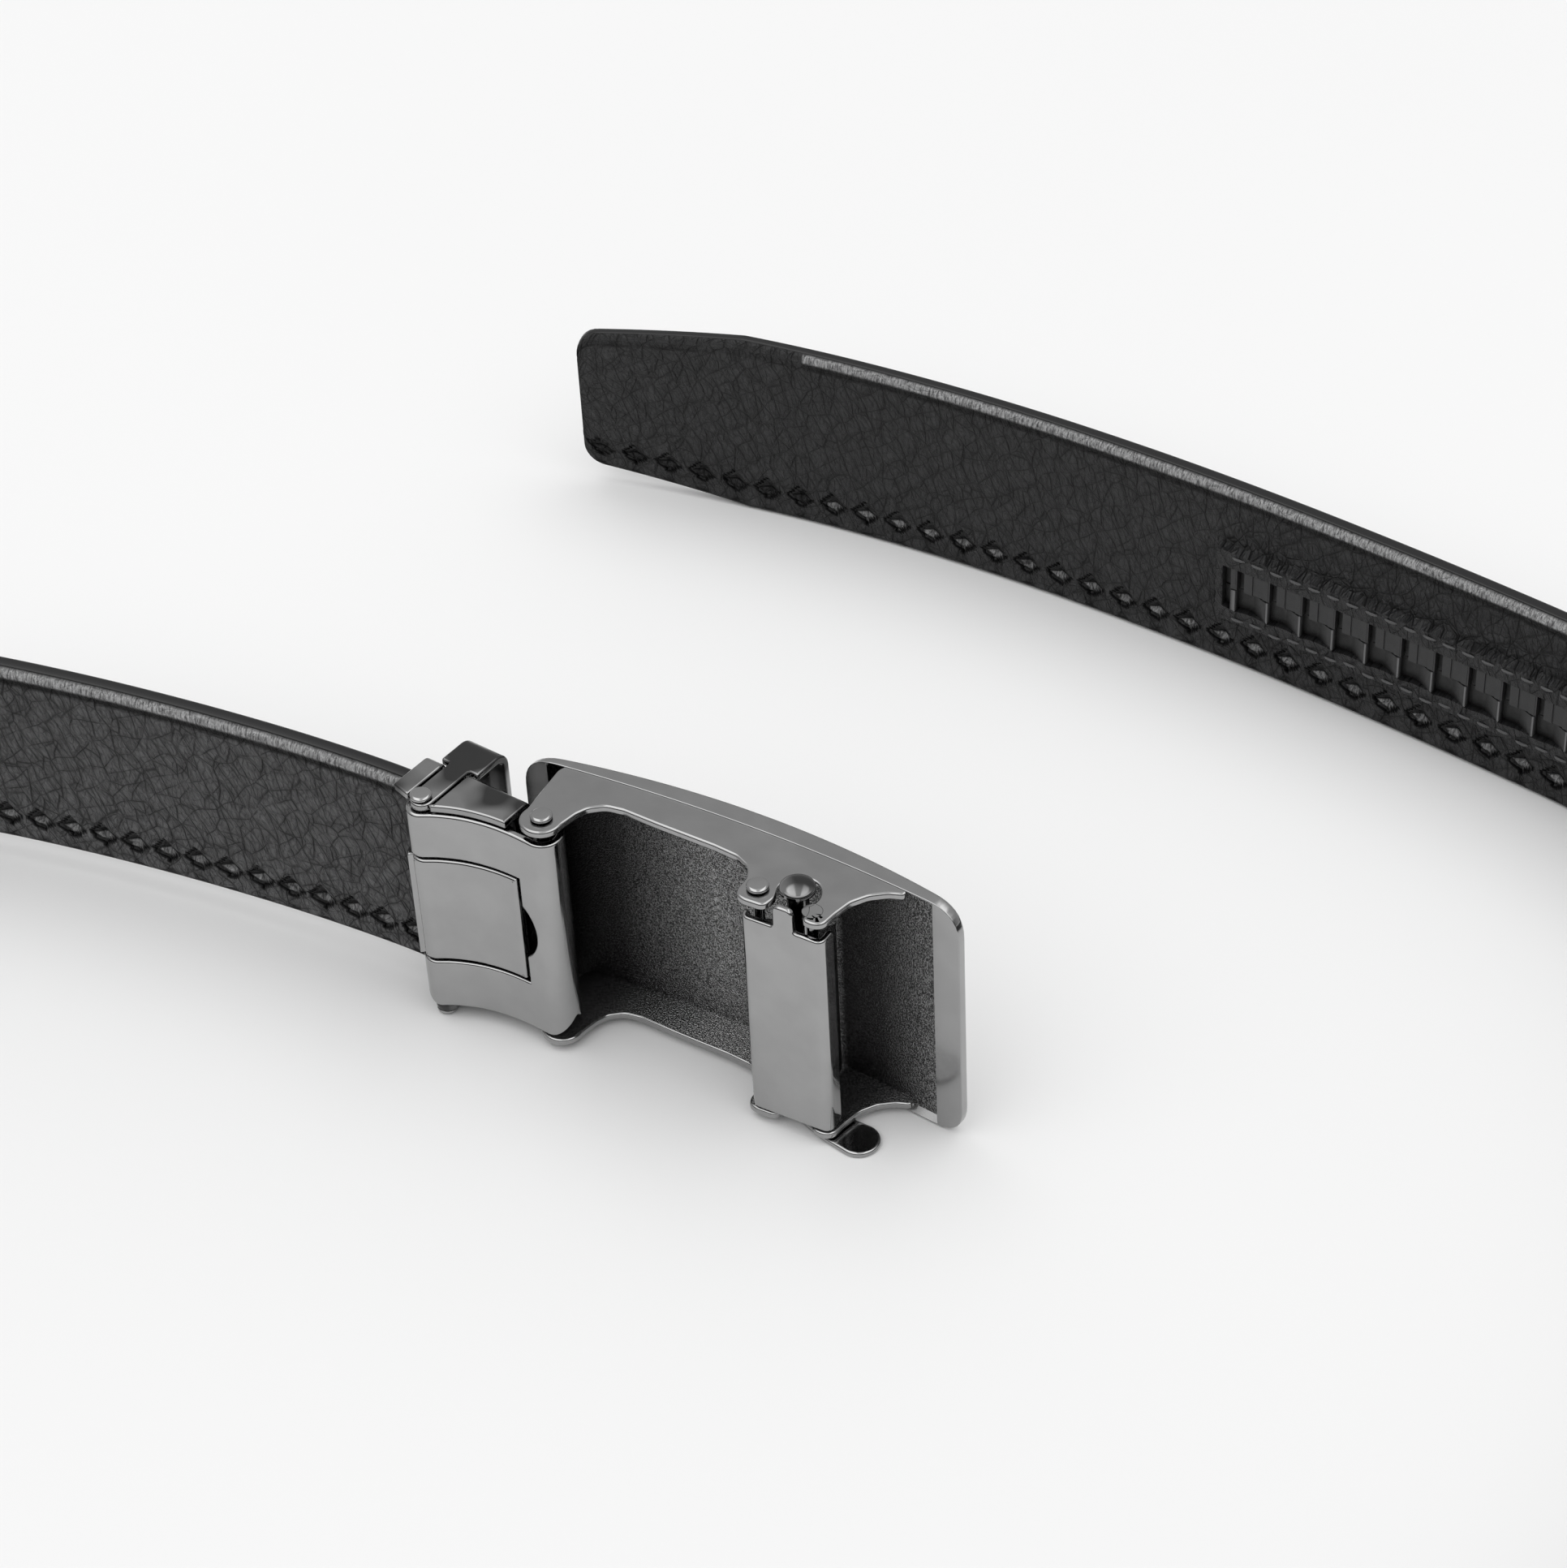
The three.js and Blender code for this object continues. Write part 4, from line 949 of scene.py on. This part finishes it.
# Pawl's rod and lever
def make_rod():
    base = FLANGE_TOP + GAP
    dome = [(DOME_R * math.cos(a), base + 0.5 + (DOME_H - 0.5) * math.sin(a))
            for a in np.linspace(0, math.pi / 2, 16)]
    profile = [(0, 0.25), (ROD_FOOT_R, 0.25), (ROD_FOOT_R, LEVER_T + 0.35), (ROD_R, LEVER_T + 0.35),
               (ROD_R, base), (DOME_R - 0.15, base), (DOME_R, base + 0.15), *dome[:-1],
               (0, base + DOME_H)]
    finish_metal(join("rod", [(*lathe(ROD, profile, 56), 0)]), "pawl", "pawl_rod", metal=PAINTED_REFLECTION_METAL)
    paddle = np.vstack([arc(ROD, 2.3, 70, 250, 12), [(62.6, 11.4), (66, 10.6)],
                        arc((70.2, 13.4), 3.2, 265, 450, 24), [(67.4, 16.4), (64, 16.6)]])
    lever = slab(fillet(paddle, 1.5), 0.0, LEVER_T, 0.42, [circle(ROD, 1.3)])
    finish_metal(join("lever", [(*lever, 0)]), "pawl", "release_lever")


# Strap
def along(s):
    """Position and heading of the strap's middle line at lengths s, in millimetres."""
    s = np.asarray(s, float)
    x = np.full(s.shape, STRAP_START)
    y = np.full(s.shape, STRAP_INNER_Y + STRAP_T / 2)
    heading = np.full(s.shape, math.pi)
    left = s.copy()
    for length, turn in RUNS:
        part = np.clip(left, 0, length)
        rate = math.radians(turn) / length
        turned = rate * part
        chord = part if rate == 0 else 2 * np.sin(turned / 2) / rate
        x = x + chord * np.cos(heading + turned / 2)
        y = y + chord * np.sin(heading + turned / 2)
        heading = heading + turned
        left = left - part
    return x, y, heading


def on_strap(s, out, up):
    """Points by length along, distance to the inner side and height on the strap."""
    x, y, heading = along(s)
    t = np.clip((s - LIFT_HOLD) / (LIFT_END - LIFT_HOLD), 0, 1)
    lift = STRAP_LIFT * (1 - t * t * (3 - 2 * t))
    return np.stack([x - out * np.sin(heading), y + out * np.cos(heading), up + lift], -1)


def tip_shape(s, out, up):
    """Thins and narrows the strap towards its tip."""
    d = STRAP_LEN - s
    thin = (TIP_T + (STRAP_T - TIP_T) * np.clip(d / THIN_RUN, 0, 1)) / STRAP_T
    half = STRAP_W / 2 - (STRAP_W - TIP_W) / 2 * (1 - np.clip(d / TIP_TAPER, 0, 1))
    k = np.clip(TIP_CORNER_R - d, 0, TIP_CORNER_R)
    half = half - (TIP_CORNER_R - np.sqrt(TIP_CORNER_R ** 2 - k ** 2)) * (d < TIP_CORNER_R)
    mid = STRAP_W / 2
    return out * thin, mid + (up - mid) * half / mid


# Laced seam: pitch near the buckle and on the tail, and the diamond's half sizes and depth.
SEAM_PITCH = 5.7
TAIL_PITCH = 6.35
PIT_LONG = 2.3
PIT_HIGH = 2.15
PIT_DEEP = 1.5


def seam_diamond(s, up):
    """Distance from the seam's nearest diamond centre, 1 on its outline, and from its middle."""
    tail = s > STRAP_LEN / 2
    phase = np.where(tail, (STRAP_LEN - s) / TAIL_PITCH, s / SEAM_PITCH) % 1.0 - 0.5
    along_pit = np.abs(phase) * np.where(tail, TAIL_PITCH, SEAM_PITCH)
    across = np.abs(up - SEAM_UP)
    return along_pit / PIT_LONG + across / PIT_HIGH, along_pit, across


def seam_relief(s, up):
    """Depth of the laced seam: diamond pits between crossing cords, with a soft valley."""
    diamond, along_pit, across = seam_diamond(s, up)
    pit = PIT_DEEP * np.clip(1.05 - diamond, 0, 1)
    rim = 0.32 * np.exp(-((diamond - 1.0) / 0.13) ** 2)
    below = np.clip((SEAM_UP - up) / 1.5, 0, 1)
    pull = 0.35 * below * np.exp(-(along_pit / 1.0) ** 2) * (across > PIT_HIGH * 0.6)
    puff = -0.14 * np.exp(-((diamond - 1.5) / 0.3) ** 2)
    return pit + rim + pull + puff


def strap_section():
    """Section rows: height, offset to the inner side, painted shade, painted highlight (also the
    ruffle mask) and smoothness.
    """
    h, r = STRAP_T / 2, 1.0
    fold_r, skin_r = 1.25, 0.8
    rows = [(z, h, 0, 0, 0) for z in np.arange(r, 8.6, 0.36)]
    rows += [(z, h, 0, 0, 0) for z in np.arange(SEAM_ROOM, STRAP_W - 3.2, 1.9)]
    # Under the folded edge: a painted shadow band, then the start of the painted highlight.
    rows += [(STRAP_W - 3.0, h, 0.1, 0, 0), (STRAP_W - 2.5, h - 0.2, 1, 0, 0.3),
             (STRAP_W - 2.0, h - 0.16, 1, 0, 0.3), (STRAP_W - 1.6, h - 0.03, 0.3, 0.5, 0.4)]
    # Folded edge: a painted highlight over the middle of its rounding.
    for a in np.linspace(0, 80, 7):
        painted_highlight = min(1.0, max(0.0, (75 - a) / 20))
        rows.append((STRAP_W - 1.35 + fold_r * math.sin(math.radians(a)),
                     h - fold_r * (1 - math.cos(math.radians(a))), 0, painted_highlight, 0.6))
    # Painted shade on the strap's top edge.
    rows += [(STRAP_W - 0.22, h - 1.3, 0.8, 0, 1), (STRAP_W - 0.04, h - 1.5, 0.2, 0, 1)]
    for a in np.radians(np.linspace(90, 180, 6)):
        rows.append((STRAP_W - skin_r * (1 - math.sin(a)), skin_r * (1 + math.cos(a)) - h, 0, 0, 1))
    rows += [(z, -h, 0, 0, 0) for z in np.arange(STRAP_W - 3, 2.0, -3.4)]
    for a in np.radians(np.linspace(180, 350, 10)):
        rows.append((r + r * math.sin(a), h * math.cos(a), 0, 0, 0))
    return np.array(rows)


def make_strap():
    rows = strap_section()
    ends = STRAP_LEN - np.array([5, 4, 3, 2.1, 1.4, 0.85, 0.45, 0.18, 0.05, 0])
    near, tail = 130, STRAP_LEN - 300
    stations = np.concatenate([np.arange(0, near, 0.5), np.arange(near, tail, 1.5),
                               np.arange(tail, STRAP_LEN - 5.2, 0.5), ends])
    count, width = len(stations), len(rows)
    s = np.repeat(stations, width)
    up, out, painted_shade, highlight_and_ruffle, smooth = (np.tile(rows[:, k], count) for k in range(5))
    around = np.concatenate([[0], np.cumsum(np.linalg.norm(np.diff(rows[:, :2], axis=0), axis=1))])
    face = out > STRAP_T / 2 - 0.01
    # Seam pits: painted shade on the upper facets, the black lace cords on the outline, and a
    # painted highlight on the lower facets.
    diamond = seam_diamond(s, up)[0]
    pit = face * (diamond < 1.14) * (up < SEAM_ROOM)
    lower = (up < SEAM_UP - 0.1) * (diamond < 0.8)
    painted_shade = np.maximum(painted_shade, pit * np.where(lower, 0.0, 0.94))
    highlight_and_ruffle = np.maximum(highlight_and_ruffle, pit * lower * 0.55)
    smooth = np.maximum(smooth, pit * np.where(lower, 0.3, 0.85))
    # Towards the tip: no painted highlight on the edge and no painted shade on the top.
    cut = s > STRAP_LEN - FOLD_FROM_TIP
    highlight_and_ruffle, painted_shade = np.where(cut, 0, highlight_and_ruffle), np.where(cut & (up > SEAM_ROOM), 0, painted_shade)
    out = out - seam_relief(s, up) * face * (up < SEAM_ROOM)
    out, up = tip_shape(s, out, up)
    verts = on_strap(s, out, up)
    faces = []
    grid = np.arange(count * width).reshape(count, width)
    for i in range(count - 1):
        a, b = grid[i], grid[i + 1]
        faces.extend(zip(a, np.roll(a, -1), np.roll(b, -1), b))
    faces.append(tuple(grid[0][::-1]))
    faces.append(tuple(grid[-1]))
    verts, faces = outward(verts, faces)
    flat = np.stack([s, np.tile(around, count), np.zeros_like(s)], 1)
    zones = np.stack([painted_shade, highlight_and_ruffle, smooth], 1)
    obj = join("strap_leather", [(verts, faces, 0)], 60, flat, zones)
    obj.data.materials.append(LEATHER)
    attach(obj, "belt")
    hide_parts("strap")


# Tooth strip
def bent(verts):
    """Strip coordinates (length, height, offset) to the strap's inner face."""
    s, up, out = verts[:, 0], verts[:, 1], verts[:, 2]
    inner, _ = tip_shape(s, np.full_like(s, STRAP_T / 2), np.full_like(s, TRACK_UP))
    return on_strap(s, inner + LAID + out, TRACK_UP + up)


# One unit of the strip by share of its pitch, from the upright edge of a tooth.
# low is the height of the lower half's ramp, high that of the upper half's ledges.
UNIT = [
    (0.0, 1.3, 1.3),
    (0.045, 1.3, 1.3),
    (0.05, 0.12, 1.25),
    (0.09, 0.12, 1.25),
    (0.095, 0.12, 0.12),
    (0.3, 0.13, 0.12),
    (0.305, 0.14, 1.2),
    (0.42, 0.18, 1.2),
    (0.55, 0.34, 1.2),
    (0.56, 0.36, 1.02),
    (0.75, 0.78, 1.02),
    (0.86, 1.05, 1.02),
    (0.87, 1.08, 1.2),
    (0.995, 1.3, 1.25),
]
# The slot ahead of the first unit.
LEAD_SLOT = [(-0.345, 1.3), (-0.34, 0.12), (-0.1, 0.12), (-0.095, 1.3)]
# Rows over the strip's width: height, and whether it is frame, lower half, bar or upper half.
BANDS = [
    (-0.6, "sink"), (0.0, "frame"), (0.9, "frame"), (1.8, "frame"), (2.35, "frame"),
    (2.45, "low"), (3.8, "low"), (5.2, "low"), (6.55, "low"),
    (6.6, "line"), (6.85, "line"),
    (6.9, "high"), (8.2, "high"), (9.5, "high"), (10.85, "high"),
    (10.95, "frame"), (12.0, "frame"), (13.2, "frame"), (14.0, "frame"), (14.7, "sink"),
]


def make_track():
    """Tooth strip as a relief: frame of leather, slots, ramps and ledges."""
    first = TRACK_END - TRACK_LEAD - 0.25
    columns = [(TRACK_END + 0.5, None), (TRACK_END, None), (TRACK_END - 1.0, None)]
    columns += [(first - t * TOOTH_PITCH, (t, depth, depth)) for t, depth in LEAD_SLOT]
    for i in range(TEETH):
        for unit in UNIT:
            columns.append((first - (i + unit[0]) * TOOTH_PITCH, unit))
    columns += [(TRACK_START + 1.2, None), (TRACK_START, None), (TRACK_START - 0.5, None)]
    frame_face = TRACK_T + LAID
    verts, painted_shade, lit, slots = [], [], [], []
    for k, (s, unit) in enumerate(columns):
        rim = k in (0, len(columns) - 1)
        scallop = 0.55 * abs(math.sin(math.pi * (STRAP_LEN - s) / TAIL_PITCH)) ** 0.6
        for z, band in BANDS:
            shade = 0.0
            if band == "sink" or rim:
                height = -0.3
            elif band == "frame" or unit is None:
                height = frame_face
            elif band == "low":
                height = unit[1]
            elif band == "high":
                height = unit[2]
            else:
                height = min(unit[1], unit[2]) if 0.05 < unit[0] < 0.3 else unit[2] - 0.3
            # Painted shade in the slots: darker where the relief is lower.
            if band in ("low", "high", "line"):
                shade = min(1.0, max(0.0, (1.0 - height) / 0.6))
            if 1.5 < z < 2.5:
                z += scallop
            if z < 2.0 and band == "frame":
                height -= 0.25
            verts.append((s, z, height))
            painted_shade.append(shade)
            # Painted highlight: the upright edge of each lower tooth.
            lit.append(float(band == "low" and unit is not None and 0 <= unit[0] < 0.047))
    wide = len(BANDS)
    faces = []
    for i in range(len(columns) - 1):
        for k in range(wide - 1):
            here, there = i * wide + k, (i + 1) * wide + k
            faces.append((here, here + 1, there + 1, there))
            plastic_row = not {BANDS[k][1], BANDS[k + 1][1]} & {"frame", "sink"}
            held = columns[i][1] is not None and columns[i + 1][1] is not None
            slots.append(int(plastic_row and held))
    verts = np.array(verts)
    flat = np.stack([verts[:, 0], verts[:, 1] + TRACK_UP - 1.0, np.zeros(len(verts))], 1)
    zones = np.stack([painted_shade, lit, np.full(len(verts), 0.55)], 1)
    obj = join("tooth_strip", [(bent(verts), faces, slots)], 32, flat, zones)
    obj.data.materials.append(LEATHER)
    obj.data.materials.append(PLASTIC)
    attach(obj, "belt")
    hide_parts("ratchet_track")


def stitch(s0, s1, z, base):
    """One thread dash lying on a face, its ends diving in."""
    sides, rings = 8, 9
    verts = []
    for t in np.linspace(0, 1, rings):
        lift = base + STITCH_RISE * math.sin(math.pi * t) ** 0.6 - 0.08
        size = STITCH_R * (0.55 + 0.45 * math.sin(math.pi * t) ** 0.5)
        for a in np.linspace(0, 2 * math.pi, sides, endpoint=False):
            verts.append((s0 + (s1 - s0) * t, z + size * math.cos(a), lift + size * math.sin(a)))
    last = (rings - 1) * sides
    faces = [tuple(range(sides))[::-1], tuple(range(last, last + sides))]
    for i in range(rings - 1):
        for k in range(sides):
            j = (k + 1) % sides
            a, b = i * sides, (i + 1) * sides
            faces.append((a + k, a + j, b + j, b + k))
    return np.array(verts), faces


def make_stitches():
    parts = []
    count = int((TRACK_END - TRACK_START - 4) / STITCH_PITCH)
    for i in range(count):
        s = TRACK_END - 3 - i * STITCH_PITCH
        upper = (TRACK_W - 0.85, TRACK_T + LAID)
        lower = (0.75 + 0.35 * math.sin(i * 2.4), TRACK_T - 0.13)
        for z, base in (upper, lower):
            v, f = stitch(s - STITCH_L, s, z, base)
            parts.append((*outward(bent(v), f), 0))
    obj = join("strip_stitches", parts, smooth=60)
    obj.data.materials.append(THREAD)
    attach(obj, "belt")


# The photo's camera: place in buckle millimetres, angles, and lens for a 36 mm wide sensor.
EYE = (314.70, -308.44, 401.39)
DOWN = math.radians(39.5)
ROLL = math.radians(-3.11)
HEADING = math.radians(38.38)
SENSOR = 36.0
LENS = SENSOR * 4811.8 / 1931.0
FLOOR_HALF = 6.0


# Studio
def camera_basis():
    """Camera axes right, up and ahead: the photo looks down and is rolled a little."""
    c, s = math.cos(HEADING), math.sin(HEADING)
    right = np.array([c, s, 0.0])
    ahead = np.array([-s * math.cos(DOWN), c * math.cos(DOWN), -math.sin(DOWN)])
    up = np.cross(right, ahead)
    cr, sr = math.cos(ROLL), math.sin(ROLL)
    return cr * right + sr * up, -sr * right + cr * up, ahead


def make_camera():
    right, up, ahead = camera_basis()
    data = bpy.data.cameras.new("camera")
    data.lens = LENS
    data.sensor_width = SENSOR
    data.sensor_fit = "HORIZONTAL"
    data.clip_start, data.clip_end = 0.01, 20.0
    camera = bpy.data.objects.new("camera", data)
    rot = Matrix((right, up, -ahead)).transposed().to_4x4()
    camera.matrix_world = Matrix.Translation(place(EYE)) @ rot
    bpy.context.scene.collection.objects.link(camera)
    bpy.context.scene.camera = camera


def make_floor():
    r = FLOOR_HALF
    floor = new_object("floor", [(-r, -r, 0), (r, -r, 0), (r, r, 0), (-r, r, 0)], [(0, 1, 2, 3)])
    mat, g, bsdf = nodes_of("pale_floor")
    at = g.add("ShaderNodeTexCoord").outputs["Object"]
    cloud = noise(g, at, 3.0, 2.0)
    g.link(g.mix(cloud, (0.80, 0.80, 0.80), (0.83, 0.83, 0.83)), bsdf.inputs["Base Color"])
    bsdf.inputs["Roughness"].default_value = 0.6
    bsdf.inputs["Specular IOR Level"].default_value = 0.2
    floor.data.materials.append(mat)


# Studio radiances, by height of the direction: far side, near side and overhead softbox.
FAR = [(0.0, 0.55), (0.35, 0.5), (0.6, 0.56), (0.7, 0.6)]
NEAR = [(0.0, 0.12), (0.3, 0.04), (0.42, 0.3), (0.56, 1.7)]
OVERHEAD = 2.1
BETWEEN = 0.9


def make_world():
    """Soft room: bright overhead, grey behind the belt, dark low down on the camera's side."""
    world = bpy.data.worlds.new("studio")
    bpy.context.scene.world = world
    world.use_nodes = True
    g = Graph(world.node_tree)
    way = g.add("ShaderNodeTexCoord").outputs["Generated"]
    height = g.add("ShaderNodeSeparateXYZ", {0: way}).outputs[2]
    right, _, ahead = camera_basis()
    away = Vector((ahead[0], ahead[1], 0)).normalized()
    toward = g.vector("DOT_PRODUCT", way, away)
    half = g.add("ShaderNodeMath", {0: toward.outputs["Value"], 1: 0.5, 2: 0.5},
                 operation="MULTIPLY_ADD").outputs[0]
    side = g.ramp(half, [(0.35, 0.0), (0.6, 1.0)])
    room = g.mix(side, g.ramp(height, NEAR), g.ramp(height, FAR))
    softbox = g.ramp(height, [(0.72, 0.0), (0.82, 1.0)])
    across = g.vector("DOT_PRODUCT", way, Vector(right))
    gap = g.ramp(g.math("ABSOLUTE", across.outputs["Value"]), [(0.13, 0.0), (0.22, 1.0)])
    lamps = g.mix(gap, (BETWEEN,) * 3, (OVERHEAD,) * 3)
    lit = g.mix(softbox, room, lamps)
    out = world.node_tree.nodes["Background"]
    g.link(lit, out.inputs["Color"])
    out.inputs["Strength"].default_value = 1.0


# Build
make_cover()
make_flap()
make_channel()
make_keeper()
make_rivets()
make_plate()
make_bar()
make_rod()
make_strap()
make_track()
make_stitches()
for name in ("stop_pin", "pawl"):
    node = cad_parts[name]
    node.data.materials.clear()
    node.data.materials.append(GUNMETAL)
make_floor()
make_world()
make_camera()
bpy.context.scene.view_settings.view_transform = "Standard"
